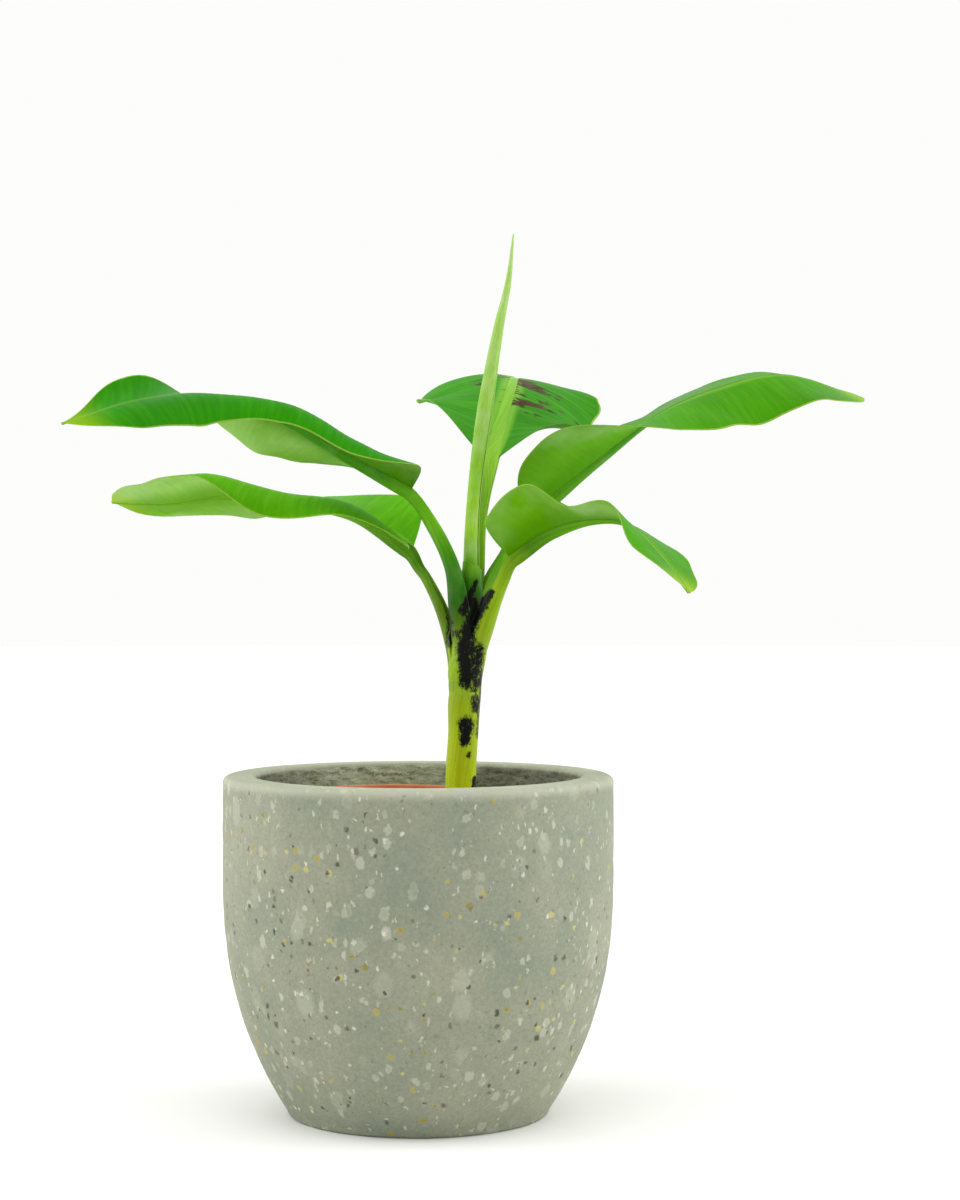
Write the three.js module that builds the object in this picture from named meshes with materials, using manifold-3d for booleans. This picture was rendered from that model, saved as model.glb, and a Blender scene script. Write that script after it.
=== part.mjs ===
// A young banana plant in a nursery pot, set inside a round terrazzo planter.
// Millimetres, +Z up, +Y away from the viewer. The origin is the middle of the planter's flat underside.
import * as THREE from "three";
import { mergeVertices } from "three/addons/utils/BufferGeometryUtils.js";
import Module from "manifold-3d";

const wasm = await Module();
wasm.setup();

// Clearance between two pieces that touch on the real plant.
const GAP = 0.3;

// Planter: straight at the top, drawn in below the shoulder to a smaller foot.
const PLANTER = {
  radius: 110,
  height: 190.5,
  shoulder: 135,
  drawIn: 38,
  drawPower: 2.35,
  wall: 18.2,
  floor: 20,
  rimRound: 4,
  lipRound: 2,
  footRound: 4,
  segments: 60,
};

// Nursery pot: a thin tapered grower's pot with a turned-out rim band.
const NURSERY = {
  x: -13,
  y: 0,
  base: 69,
  height: 111,
  rimRadius: 60,
  bandHeight: 12,
  bodyTopRadius: 56.5,
  footRadius: 44,
  wall: 1.8,
  segments: 48,
};

// Potting soil fills the nursery pot, and clay pebbles fill the planter's bottom under it.
const SOIL = { level: 171.4, atStem: 172.3, lump: 1.6, segments: 40 };
const PEBBLES = { level: 68.7, lump: 2.6, segments: 44 };

// Pseudostem: the rolled leaf bases, flat at the soil, leaning a little to the right.
const STEM = {
  bottom: 172.6,
  top: 304.2,
  axis: [
    [24.0, 0],
    [24.0, 0],
    [25.4, 0],
    [26.2, 0],
    [27.4, 0],
    [28.0, 0],
    [29.2, 0],
  ],
  radii: [8.9, 8.6, 8.6, 9.4, 11.4, 11.0, 8.0],
};

// The youngest leaf, still rolled up, stands on the top of the pseudostem.
const ROLLED = {
  points: [
    [29.4, 0, 304.5],
    [30.0, 0, 329],
    [31.6, 0, 352],
    [34.4, 0, 376],
    [37.8, 0, 399],
    [41.6, 0, 422],
    [45.6, 0, 444],
    [50.7, 0, 468],
    [53.6, 0, 495],
  ],
  radii: [4.9, 4.3, 4.1, 4.5, 4.7, 4.0, 3.2, 2.0, 0.5],
};

// Each half of a blade is a strip that leaves the rib at an angle (lift), bends over its width (curl)
// and leans along the rib (sweep). Angles are degrees at equally spaced stations from base to tip.
const BLADE_THICKNESS = 2.4;
const LEAVES = [
  {
    name: "upper_left",
    azimuth: [203, 203],
    petiole: [
      [25.5, -4, 266.5],
      [23.5, -7, 285.5],
      [19.5, -9, 308],
      [8.5, -12, 331],
    ],
    petioleRadii: [7, 6.6, 5, 4.3, 3.8],
    rib: [
      [-5, -14, 351],
      [-40, -32, 369],
      [-74, -48, 389],
      [-114, -64, 401],
      [-152, -78, 396],
      [-187, -90, 384],
    ],
    ribRadius: 3.8,
    tip: 2.3,
    left: {
      width: 44,
      base: 0.04,
      corner: 4,
      lift: [30, 40, 40, 3, -3, -22],
      curl: [-40, -95, -108, -60, -40, 0],
      sweep: [0.35, 0.2, -0.15],
    },
    right: {
      width: 40,
      base: 0.14,
      corner: 2,
      lift: [15, 0, -15, -9, 4, -20],
      curl: [-10, -20, -20, 10, 38, 40],
      sweep: [0.5, -0.15, -0.15],
    },
  },
  {
    name: "lower_left",
    azimuth: [167, 167],
    petiole: [
      [20.5, 2, 260.5],
      [14.5, 4, 282],
      [6, 7, 299.5],
      [0, 9.5, 308],
    ],
    petioleRadii: [5, 4.6, 3.8, 3.8, 3.7],
    rib: [
      [-5, 12, 317],
      [-39, 22, 337],
      [-75, 32, 344],
      [-111, 42, 348],
      [-145, 50, 344],
      [-181, 60, 346],
    ],
    ribRadius: 3.6,
    tip: 2.6,
    left: {
      width: 38,
      base: 0.22,
      corner: 2,
      lift: [40, 50, 55, 60, 40, 10],
      curl: [-45, -100, -145, -80, -40, 5],
      sweep: [-0.4, 0.2, 0.3],
    },
    right: {
      width: 39,
      base: 0.08,
      corner: 2.5,
      lift: [60, 25, 10, -15, -10, -20],
      curl: [-15, -15, -5, -5, 0, -5],
      sweep: [0.3, -0.1, -0.05],
    },
  },
  {
    name: "back",
    azimuth: [78, 78],
    petiole: [
      [32.5, 4, 289],
      [33.5, 10, 311.5],
      [34.5, 17, 331.5],
      [37, 26, 349],
    ],
    petioleRadii: [4, 3.8, 3.8, 3.9, 4],
    rib: [
      [41, 40, 371],
      [46, 62, 390],
      [53, 96, 414],
      [57, 132, 424],
      [64, 168, 417],
      [69, 198, 398],
    ],
    ribRadius: 5,
    tip: 1.3,
    left: {
      width: 60,
      base: 0.45,
      corner: 2.4,
      lift: [8, 8, 4, 15, 8, 0],
      curl: [0, -15, -28, -50, -35, -10],
      sweep: [1.2, 0.6, 0.1, 0, -0.2, -0.3],
    },
    right: {
      width: 56,
      base: 0.4,
      corner: 2,
      lift: [5, -8, -15, -8, -5, 0],
      curl: [0, -35, -38, -22, -15, 0],
      sweep: [1.2, 0.5, 0, -0.1, -0.35, -0.4],
    },
  },
  {
    name: "upper_right",
    azimuth: [14, 14],
    petiole: [
      [33.5, 0, 285.5],
      [40, 4, 301.5],
      [46.5, 9, 312],
      [55, 14, 325],
    ],
    petioleRadii: [5, 4.4, 4.2, 4, 3.8],
    rib: [
      [65, 18, 338],
      [102, 28, 368],
      [136, 40, 395],
      [172, 54, 412],
      [214, 66, 421],
      [262, 78, 408],
    ],
    ribRadius: 3.8,
    tip: 2.2,
    left: {
      width: 50,
      base: 0.12,
      corner: 2,
      lift: [30, 15, 0, 4, 3, 10],
      curl: [0, -5, -5, -5, 5, 15],
      sweep: [0.2, 0.25, -0.15],
    },
    right: {
      width: 50,
      base: 0.25,
      corner: 2,
      lift: [60, 45, 5, -20, -20, -15],
      curl: [0, -10, -30, -20, -5, 0],
      sweep: [-0.4, -0.15, 0.65],
    },
  },
  {
    name: "front_right",
    azimuth: [-38, -36, -28, -20, -16, -14],
    petiole: [
      [31.5, -4, 255],
      [37.5, -10, 275.5],
      [42.5, -14, 289],
      [47.5, -18, 300.5],
    ],
    petioleRadii: [5.5, 5.5, 4.6, 4, 3.8],
    rib: [
      [53, -22, 313],
      [74, -38, 326],
      [96, -52, 333],
      [115, -62, 331],
      [131, -70, 316],
      [147, -76, 294],
    ],
    ribRadius: 3.8,
    tip: 2.4,
    left: {
      width: 40,
      base: 0.07,
      corner: 4,
      lift: [18, 12, 5, -5, 5, 5],
      curl: [5, 0, -5, -5, 0, 5],
      sweep: [-0.25, -0.15, 0.5],
    },
    right: {
      width: 38,
      base: 0.04,
      corner: 2,
      lift: [35, 65, 20, 15, -5, 0],
      curl: [-35, -45, -15, 0, 0, 5],
      sweep: [0.3, 0, -0.15],
    },
  },
];

const LEAF_STATIONS = 20;
const HALF_COLUMNS = 6;
const WAIST = 0.5;
// The midrib stands out below the blade, and the stalk ends under its start, by these shares of their radius.
const RIB_DEPTH = 0.55;
const STALK_DROP = 0.55;

const COLOURS = {
  planter: 0xa9ad9b,
  nursery_pot: 0xe8875f,
  potting_soil: 0x3a2c22,
  pebble_bed: 0x9a6a48,
  pseudostem: 0x8fa822,
  petiole: 0x7fae2c,
  leaf: 0x3f9a17,
  rolled_leaf: 0x8cc04a,
};

const rad = THREE.MathUtils.degToRad;

// Catmull-Rom value through equally spaced stations, for t from 0 to 1.
function through(stations, t) {
  const last = stations.length - 1;
  const x = Math.min(Math.max(t, 0), 1) * last;
  const i = Math.min(Math.floor(x), last - 1);
  const f = x - i;
  const p1 = stations[i];
  const p2 = stations[i + 1];
  const p0 = i > 0 ? stations[i - 1] : 2 * p1 - p2;
  const p3 = i + 2 <= last ? stations[i + 2] : 2 * p2 - p1;
  return (
    p1 +
    0.5 * f * (p2 - p0 + f * (2 * p0 - 5 * p1 + 4 * p2 - p3 + f * (3 * (p1 - p2) + p3 - p0)))
  );
}

function pointAt(points, t) {
  return new THREE.Vector3(
    through(points.map((p) => p[0]), t),
    through(points.map((p) => p[1]), t),
    through(points.map((p) => p[2]), t),
  );
}

// Place and directions on a limb: along it, level to its left, and up out of its upper side.
function limbFrame(points, azimuth, t) {
  const step = 1e-3;
  const at = pointAt(points, t);
  const along = pointAt(points, Math.min(t + step, 1))
    .sub(pointAt(points, Math.max(t - step, 0)))
    .normalize();
  const a = rad(through(azimuth, t));
  const side = new THREE.Vector3(-Math.sin(a), Math.cos(a), 0);
  side.addScaledVector(along, -side.dot(along)).normalize();
  const up = new THREE.Vector3().crossVectors(along, side);
  return { at, along, side, up };
}

// Closed surface through rings of equally many points. Each end is closed by a strip across its ring.
function loft(rings) {
  const m = rings[0].length;
  const position = rings.flat().flatMap((p) => [p.x, p.y, p.z]);
  const index = [];
  for (let i = 0; i + 1 < rings.length; i++) {
    for (let j = 0; j < m; j++) {
      const a = i * m + j;
      const b = i * m + ((j + 1) % m);
      index.push(a, b, b + m, a, b + m, a + m);
    }
  }
  const cap = (start, flip) => {
    for (let j = 0; j < m / 2 - 1; j++) {
      const a = start + j;
      const b = start + j + 1;
      const c = start + m - 2 - j;
      const d = start + m - 1 - j;
      const faces = b === c ? [[a, b, d]] : [[a, b, c], [a, c, d]];
      for (const [p, q, r] of faces) index.push(...(flip ? [p, r, q] : [p, q, r]));
    }
  };
  cap(0, true);
  cap((rings.length - 1) * m, false);
  return facingOut(position, index);
}

function facingOut(position, index) {
  const corner = (i) => new THREE.Vector3().fromArray(position, i * 3);
  let volume = 0;
  for (let i = 0; i < index.length; i += 3) {
    volume += corner(index[i]).dot(corner(index[i + 1]).cross(corner(index[i + 2])));
  }
  if (volume < 0) {
    for (let i = 0; i < index.length; i += 3) {
      [index[i + 1], index[i + 2]] = [index[i + 2], index[i + 1]];
    }
  }
  const g = new THREE.BufferGeometry();
  g.setAttribute("position", new THREE.Float32BufferAttribute(position, 3));
  g.setIndex(index);
  return g;
}

function lathe(profile, segments, x = 0, y = 0) {
  const g = new THREE.LatheGeometry(
    profile.map(([r, z]) => new THREE.Vector2(r, z)),
    segments,
  );
  g.rotateX(Math.PI / 2);
  g.translate(x, y, 0);
  return g;
}

function asSolid(geometry) {
  const g = geometry.clone();
  g.deleteAttribute("normal");
  g.deleteAttribute("uv");
  const merged = mergeVertices(g, 1e-3);
  const solid = new wasm.Manifold(
    new wasm.Mesh({
      numProp: 3,
      vertProperties: merged.attributes.position.array,
      triVerts: new Uint32Array(merged.index.array),
    }),
  );
  return solid;
}

function asGeometry(solid) {
  const m = solid.getMesh();
  const position = new Float32Array(m.numVert * 3);
  for (let i = 0; i < m.numVert; i++) {
    position.set(m.vertProperties.subarray(i * m.numProp, i * m.numProp + 3), i * 3);
  }
  const g = new THREE.BufferGeometry();
  g.setAttribute("position", new THREE.BufferAttribute(position, 3));
  g.setIndex(new THREE.BufferAttribute(new Uint32Array(m.triVerts), 1));
  return g;
}

// Subtracts each cutter and keeps the largest piece that is left.
function cutClear(solid, cutters) {
  let left = solid;
  for (const c of cutters) left = left.subtract(c);
  const pieces = left.decompose();
  pieces.sort((a, b) => b.volume() - a.volume());
  return pieces[0];
}

function outerRadius(z) {
  const p = PLANTER;
  const below = Math.max(0, p.shoulder - z) / p.shoulder;
  return p.radius - p.drawIn * below ** p.drawPower;
}

function arc(cr, cz, radius, from, to, steps) {
  const points = [];
  for (let i = 0; i <= steps; i++) {
    const a = rad(from + ((to - from) * i) / steps);
    points.push([cr + radius * Math.cos(a), cz + radius * Math.sin(a)]);
  }
  return points;
}

function planter() {
  const p = PLANTER;
  const foot = outerRadius(p.footRound);
  const profile = [[0, 0], ...arc(foot - p.footRound, p.footRound, p.footRound, -90, 0, 3)];
  for (const z of [16, 30, 46, 64, 84, 108, p.shoulder]) profile.push([outerRadius(z), z]);
  const top = p.height - p.rimRound;
  profile.push(...arc(p.radius - p.rimRound, top, p.rimRound, 0, 90, 4));
  const inner = p.radius - p.wall;
  profile.push(...arc(inner + p.lipRound, p.height - p.lipRound, p.lipRound, 90, 180, 3));
  for (const z of [p.shoulder, 108, 84, 64, 46, 32]) profile.push([outerRadius(z) - p.wall, z]);
  profile.push([outerRadius(p.floor) - p.wall - 3, p.floor], [0, p.floor]);
  return lathe(profile, p.segments);
}

function nurseryPot() {
  const n = NURSERY;
  const top = n.base + n.height;
  const band = top - n.bandHeight;
  return lathe(
    [
      [0, n.base],
      [n.footRadius - 2, n.base],
      [n.footRadius, n.base + 2],
      [n.bodyTopRadius, band],
      [n.rimRadius - 0.8, band],
      [n.rimRadius, band + 1],
      [n.rimRadius, top - 0.8],
      [n.rimRadius - 0.9, top],
      [n.rimRadius - n.wall, top - 0.4],
      [n.rimRadius - n.wall - 0.4, band + 2],
      [n.bodyTopRadius - n.wall, band - 1],
      [n.footRadius - n.wall, n.base + 3.5],
      [n.footRadius - n.wall - 2, n.base + n.wall],
      [0, n.base + n.wall],
    ],
    n.segments,
    n.x,
    n.y,
  );
}

// A small repeatable roughness for loose fill, between -1 and 1.
function lumps(x, y) {
  return (
    0.6 * Math.sin(x * 0.37 + 1.3 * Math.sin(y * 0.21)) * Math.cos(y * 0.33 + 0.8) +
    0.4 * Math.sin(x * 0.71 - y * 0.53 + 2.1)
  );
}

// Fill inside a round vessel: a turned side below, and a lumpy top of the given height.
function fill(side, topRadii, height, x, y, segments) {
  const rows = [
    ...side.map(([r, z]) => [r, () => z]),
    ...topRadii.map((r) => [r, height]),
  ];
  const position = [x, y, side[0][1]];
  for (const [r, z] of rows) {
    for (let j = 0; j < segments; j++) {
      const a = (j / segments) * 2 * Math.PI;
      const px = x + r * Math.cos(a);
      const py = y + r * Math.sin(a);
      position.push(px, py, z(px, py));
    }
  }
  position.push(x, y, height(x, y));
  const index = [];
  const last = 1 + rows.length * segments;
  for (let j = 0; j < segments; j++) {
    const k = (j + 1) % segments;
    index.push(0, 1 + k, 1 + j);
    for (let i = 0; i + 1 < rows.length; i++) {
      const a = 1 + i * segments + j;
      const b = 1 + i * segments + k;
      index.push(a, b, b + segments, a, b + segments, a + segments);
    }
    const e = 1 + (rows.length - 1) * segments;
    index.push(e + j, e + k, last);
  }
  return facingOut(position, index);
}

function pottingSoil() {
  const n = NURSERY;
  const bottom = n.base + n.wall + GAP;
  const band = n.base + n.height - n.bandHeight;
  const inside = (z) =>
    n.footRadius +
    ((n.bodyTopRadius - n.footRadius) * (z - n.base - 2)) / (band - n.base - 2) -
    n.wall -
    0.8;
  const [stemX, stemY] = STEM.axis[0];
  const height = (px, py) => {
    const away = Math.hypot(px - stemX, py - stemY);
    const f = Math.min(Math.max((away - 12) / 8, 0), 1);
    return SOIL.atStem + f * (SOIL.level - SOIL.atStem + SOIL.lump * 0.5 * lumps(px, py));
  };
  const side = [
    [n.footRadius - n.wall - 2.6, bottom],
    [inside(n.base + 5), n.base + 5],
    [inside(band - 2), band - 2],
    [inside(band - 2), SOIL.level - 2.5],
  ];
  return fill(side, [54, 44, 34, 24, 13], height, n.x, n.y, SOIL.segments);
}

function pebbleBed() {
  const p = PLANTER;
  const height = (px, py) => {
    const away = Math.hypot(px - NURSERY.x, py - NURSERY.y);
    const f = Math.min(Math.max((away - NURSERY.footRadius - 9) / 6, 0), 1);
    return PEBBLES.level + f * (PEBBLES.lump * lumps(px * 1.4, py * 1.4) - 1.5);
  };
  const side = [[outerRadius(p.floor) - p.wall - 3.6, p.floor + GAP]];
  for (const z of [32, 46, 62]) side.push([outerRadius(z) - p.wall - 0.6, z]);
  return fill(side, [82, 76, 70, 63, 54, 26], height, 0, 0, PEBBLES.segments);
}

// A round section set square to the limb.
function roundRing(frame, radius, points, flat = 1) {
  const ring = [];
  for (let j = 0; j < points; j++) {
    const a = ((j + 0.5) / points) * 2 * Math.PI;
    ring.push(
      frame.at
        .clone()
        .addScaledVector(frame.side, radius * Math.cos(a))
        .addScaledVector(frame.up, flat * radius * Math.sin(a)),
    );
  }
  return ring;
}

function pseudostem(extra = 0) {
  const s = STEM;
  const rings = [];
  const count = 14;
  for (let i = 0; i <= count; i++) {
    const t = i / count;
    const end = i === 0 ? -extra : i === count ? extra : 0;
    const at = new THREE.Vector3(
      through(s.axis.map((p) => p[0]), t),
      through(s.axis.map((p) => p[1]), t),
      s.bottom + (s.top - s.bottom) * t + end,
    );
    const frame = { at, side: new THREE.Vector3(1, 0, 0), up: new THREE.Vector3(0, 1, 0) };
    rings.push(roundRing(frame, through(s.radii, t) + extra, 20, 0.92));
  }
  return loft(rings);
}

function rolledLeaf(extra = 0) {
  const rings = [];
  const count = 20;
  for (let i = 0; i <= count; i++) {
    const t = i / count;
    const frame = limbFrame(ROLLED.points, [0, 0], t);
    if (i === 0) {
      frame.side.set(1, 0, 0);
      frame.up.set(0, 1, 0);
    }
    rings.push(roundRing(frame, through(ROLLED.radii, t) + extra, 12));
  }
  return loft(rings);
}

function petiole(leaf, extra = 0) {
  const start = limbFrame(leaf.rib, leaf.azimuth, 0);
  const radius = leaf.petioleRadii[leaf.petioleRadii.length - 1];
  const end = start.at
    .clone()
    .addScaledVector(start.up, -STALK_DROP * radius)
    .addScaledVector(start.along, -GAP);
  const points = [...leaf.petiole, end.toArray()];
  const rings = [];
  const count = 12;
  const azimuth = [leaf.azimuth[0], leaf.azimuth[0]];
  for (let i = 0; i <= count; i++) {
    const t = i / count;
    const frame = limbFrame(points, azimuth, t);
    if (i === count) Object.assign(frame, { side: start.side, up: start.up });
    rings.push(roundRing(frame, through(leaf.petioleRadii, t) + extra, 12, 0.9));
  }
  return loft(rings);
}

// Share of its full width that a half-blade has at t; the base is square-cornered for a high corner value.
function outline(half, tip, t) {
  if (t < half.base) return Math.max(0, 1 - (1 - t / half.base) ** half.corner) ** (1 / half.corner);
  if (t > WAIST) return Math.cos((Math.PI / 2) * ((t - WAIST) / (1 - WAIST)) ** tip);
  return 1;
}

// Points across one half at t, from the rib's middle out to the margin, with the way out of the upper side.
function halfSection(leaf, half, sign, frame, t) {
  const ribHalf = leaf.ribRadius * (1 - 0.8 * t);
  const width = Math.max(half.width * outline(half, leaf.tip, t), ribHalf + 0.8);
  const lift = rad(through(half.lift, t));
  const curl = rad(through(half.curl, t)) || 1e-4;
  const sweep = through(half.sweep, t);
  const points = [];
  for (let j = 0; j <= HALF_COLUMNS; j++) {
    const out = j === 0 ? 0 : ribHalf + ((width - ribHalf) * (j - 1)) / (HALF_COLUMNS - 1);
    const turn = (curl * out) / width;
    const across = (width * (Math.sin(lift + turn) - Math.sin(lift))) / curl;
    const rise = (width * (Math.cos(lift) - Math.cos(lift + turn))) / curl;
    const top = frame.at
      .clone()
      .addScaledVector(frame.side, sign * across)
      .addScaledVector(frame.up, rise)
      .addScaledVector(frame.along, sweep * Math.max(0, out - ribHalf));
    const angle = j === 0 ? 0 : lift + turn;
    const normal = frame.side
      .clone()
      .multiplyScalar(-sign * Math.sin(angle))
      .addScaledVector(frame.up, Math.cos(angle));
    const rib = [1, 0.6][j] || 0;
    const depth = BLADE_THICKNESS + rib * ribHalf * RIB_DEPTH;
    points.push({ top, under: top.clone().addScaledVector(normal, -depth) });
  }
  return points;
}

function blade(leaf) {
  const rings = [];
  for (let i = 0; i <= LEAF_STATIONS; i++) {
    const t = i / LEAF_STATIONS;
    const frame = limbFrame(leaf.rib, leaf.azimuth, t);
    const left = halfSection(leaf, leaf.left, 1, frame, t);
    const right = halfSection(leaf, leaf.right, -1, frame, t);
    const row = [...left.slice(1).reverse(), ...right];
    rings.push([...row.map((p) => p.top), ...row.map((p) => p.under).reverse()]);
  }
  return loft(rings);
}

function mesh(name, geometry, colour, roughness) {
  const g = geometry.index ? geometry.toNonIndexed() : geometry.clone();
  g.computeVertexNormals();
  const material = new THREE.MeshStandardMaterial({ color: colour, roughness, metalness: 0 });
  const m = new THREE.Mesh(g, material);
  m.name = name;
  return m;
}

const plant = new THREE.Group();
plant.name = "potted_banana_plant";
plant.add(mesh("planter", planter(), COLOURS.planter, 0.8));
plant.add(mesh("pebble_bed", pebbleBed(), COLOURS.pebble_bed, 0.9));
plant.add(mesh("nursery_pot", nurseryPot(), COLOURS.nursery_pot, 0.6));
plant.add(mesh("potting_soil", pottingSoil(), COLOURS.potting_soil, 0.95));
plant.add(mesh("pseudostem", pseudostem(), COLOURS.pseudostem, 0.5));
plant.add(mesh("rolled_leaf", rolledLeaf(), COLOURS.rolled_leaf, 0.5));

const cutters = [asSolid(pseudostem(GAP)), asSolid(rolledLeaf(GAP))];
for (const leaf of LEAVES) {
  const stalk = cutClear(asSolid(petiole(leaf)), cutters);
  plant.add(mesh("petiole_" + leaf.name, asGeometry(stalk), COLOURS.petiole, 0.5));
  cutters.push(asSolid(petiole(leaf, GAP)));
}
for (const leaf of LEAVES) {
  plant.add(mesh("leaf_" + leaf.name, blade(leaf), COLOURS.leaf, 0.45));
}

export default plant;
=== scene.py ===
import math

import bmesh
import bpy
import numpy as np
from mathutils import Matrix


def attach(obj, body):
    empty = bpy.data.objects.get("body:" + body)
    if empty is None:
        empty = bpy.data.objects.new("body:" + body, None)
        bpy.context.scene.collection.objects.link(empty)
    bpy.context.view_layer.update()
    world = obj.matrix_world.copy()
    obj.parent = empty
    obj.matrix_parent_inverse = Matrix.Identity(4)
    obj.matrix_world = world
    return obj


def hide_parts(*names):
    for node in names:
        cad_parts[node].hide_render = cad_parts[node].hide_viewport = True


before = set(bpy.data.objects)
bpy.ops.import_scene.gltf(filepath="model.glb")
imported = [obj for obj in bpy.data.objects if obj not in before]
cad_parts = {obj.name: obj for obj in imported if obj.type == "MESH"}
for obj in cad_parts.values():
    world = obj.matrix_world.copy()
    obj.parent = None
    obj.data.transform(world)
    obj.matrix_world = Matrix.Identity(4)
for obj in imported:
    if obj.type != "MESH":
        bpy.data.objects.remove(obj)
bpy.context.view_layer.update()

# Planter
# A round cover pot cast from grey-green cement with stone chips, rubbed smooth outside and left
# rough inside. It is straight at the top and drawn in to a smaller foot, with a rounded rim.
MM = 0.001
PLANTER_RADIUS = 110
PLANTER_HEIGHT = 190.5
PLANTER_SHOULDER = 135
PLANTER_DRAW_IN = 38
PLANTER_DRAW_POWER = 2.35
PLANTER_WALL = 18.2
PLANTER_FLOOR = 20
PLANTER_FLOOR_ROUND = 6
PLANTER_ROUND = 4
PLANTER_LIP = 2
PLANTER_FOOT_ROUND = 3
PLANTER_FOOT_RING = 11
PLANTER_RECESS = 1.6
PLANTER_STEP = 1.6
PLANTER_SEGMENTS = 400
# Stone chips in layers: cell size in mm, upright stretch, share of cells with a chip, its radius
# and soft edge in cells, strength, and the chip colours.
CHIPS = [
    (14, 1.4, 0.2, 0.5, 0.24, 0.3, ["#9fa28f", "#b0b29f", "#bfc1ae"]),
    (7, 1.4, 0.16, 0.46, 0.16, 0.45, ["#9b9d88", "#b3b5a2", "#c8c9b8"]),
    (4.4, 1.5, 0.09, 0.46, 0.22, 0.5, ["#a6a792", "#c2c2ae", "#d6d5c3"]),
    (3.2, 1.2, 0.04, 0.48, 0.26, 0.58, ["#c2c0aa", "#d8d6c4", "#e8e6d6"]),
    (1.9, 2.4, 0.04, 0.46, 0.2, 0.5, ["#c4c1ab", "#d2d0bc", "#deddcb"]),
    (1.6, 1.5, 0.04, 0.46, 0.2, 0.5, ["#57564c", "#6b6a5a", "#7c745c"]),
    (6.2, 1, 0.13, 0.4, 0.22, 0.8, ["#8a7c26", "#ab9a3a", "#c2b76c"]),
    (5, 1.1, 0.11, 0.4, 0.18, 0.85, ["#35312a", "#453f36", "#6b6656"]),
    (2.6, 1.3, 0.05, 0.46, 0.2, 0.5, ["#5c584a", "#6a6658", "#8a8470"]),
]


def smooth(x):
    """0 below 0, 1 above 1, and an S-shaped rise between."""
    x = np.clip(x, 0, 1)
    return x * x * (3 - 2 * x)


def drift(seed, reach, *place):
    """Repeatable wandering between about -1 and 1, with waves about `reach` long."""
    random = np.random.default_rng(seed)
    total = 0
    for _ in range(7):
        way = random.normal(size=len(place))
        way *= 2 * math.pi * random.uniform(0.6, 1.5) / (reach * np.linalg.norm(way))
        total = total + np.sin(sum(p * w for p, w in zip(place, way)) + random.uniform(0, 6.28))
    return total / 3.5


def rings_to_faces(rows, ring, closed=True, start=0):
    """Quads between neighbouring rows of `ring` points."""
    i = np.arange(rows - 1)[:, None] * ring
    j = np.arange(ring if closed else ring - 1)[None, :]
    k = (j + 1) % ring
    return (np.stack([i + j, i + k, i + ring + k, i + ring + j], -1) + start).reshape(-1, 4)


def piece(name, points, faces, materials, values=None, material_index=None):
    """A smooth mesh object from points in millimetres, with its faces turned outwards."""
    points = np.asarray(points, float) * MM
    fours = np.array([f if len(f) == 4 else list(f) + [f[-1]] for f in faces])
    a, b, c, d = (points[fours[:, k]] for k in range(4))
    volume = (a * np.cross(b, c)).sum() + (a * np.cross(c, d)).sum()
    if volume < 0:
        faces = [list(f)[::-1] for f in faces]
    mesh = bpy.data.meshes.new(name)
    mesh.from_pydata(points.tolist(), [], [list(map(int, f)) for f in faces])
    for key, value in (values or {}).items():
        attribute = mesh.attributes.new(key, "FLOAT", "POINT")
        attribute.data.foreach_set("value", np.asarray(value, np.float32).ravel())
    for m in materials:
        mesh.materials.append(m)
    mesh.polygons.foreach_set("use_smooth", np.ones(len(faces), bool))
    if material_index is not None:
        mesh.polygons.foreach_set("material_index", np.asarray(material_index, np.int32))
    mesh.update()
    made = bpy.data.objects.new(name, mesh)
    bpy.context.scene.collection.objects.link(made)
    return made


def turned(profile, segments, centre=(0, 0), uneven=None):
    """Points and faces of a (radius, height) profile turned about the upright axis that it ends on."""
    profile = np.asarray(profile, float)
    inner = profile[1:-1]
    angle = np.arange(segments) * 2 * math.pi / segments
    radius = inner[:, :1] + (uneven(angle[None, :], inner[:, 1:]) if uneven else 0)
    x = centre[0] + radius * np.cos(angle)
    y = centre[1] + radius * np.sin(angle)
    z = np.broadcast_to(inner[:, 1:], x.shape)
    points = np.stack([x, y, z], -1).reshape(-1, 3)
    ends = [[centre[0], centre[1], profile[0, 1]], [centre[0], centre[1], profile[-1, 1]]]
    faces = rings_to_faces(len(inner), segments).tolist()
    first, last = len(points), len(points) + 1
    top = (len(inner) - 1) * segments
    for j in range(segments):
        k = (j + 1) % segments
        faces.append([first, k, j])
        faces.append([last, top + j, top + k])
    return np.vstack([points, ends]), faces


def linear(code):
    """An sRGB hex colour as linear red, green, blue and alpha."""
    parts = [int(code[i : i + 2], 16) / 255 for i in (1, 3, 5)]
    return [p / 12.92 if p <= 0.04045 else ((p + 0.055) / 1.055) ** 2.4 for p in parts] + [1]


def new_material(name):
    """An empty material, ready for nodes."""
    made = bpy.data.materials.new(name)
    made.use_nodes = True
    made.node_tree.nodes.clear()
    return made


def node(owner, kind, links=None, stops=None, **settings):
    """Adds a node to a material or world with its settings, and links or sets its inputs.

    Inputs go by name or number: in MapRange 1 and 2 are the range read and 3 and 4 the range given,
    and in Mix 6 and 7 are the two colours.
    """
    made = owner.node_tree.nodes.new("ShaderNode" + kind)
    for key, value in settings.items():
        setattr(made, key, value)
    if stops:
        ramp = made.color_ramp
        while len(ramp.elements) < len(stops):
            ramp.elements.new(0.5)
        for element, (at, code) in zip(ramp.elements, stops):
            element.position = at
            element.color = linear(code)
    for key, value in (links or {}).items():
        if isinstance(value, bpy.types.Node):
            value = value.outputs[0]
        if isinstance(value, bpy.types.NodeSocket):
            owner.node_tree.links.new(value, made.inputs[key])
        else:
            made.inputs[key].default_value = value
    return made


def waves(size):
    """Scale of a pattern whose waves, grains or cells are `size` millimetres across."""
    return 1 / (size * MM)


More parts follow.
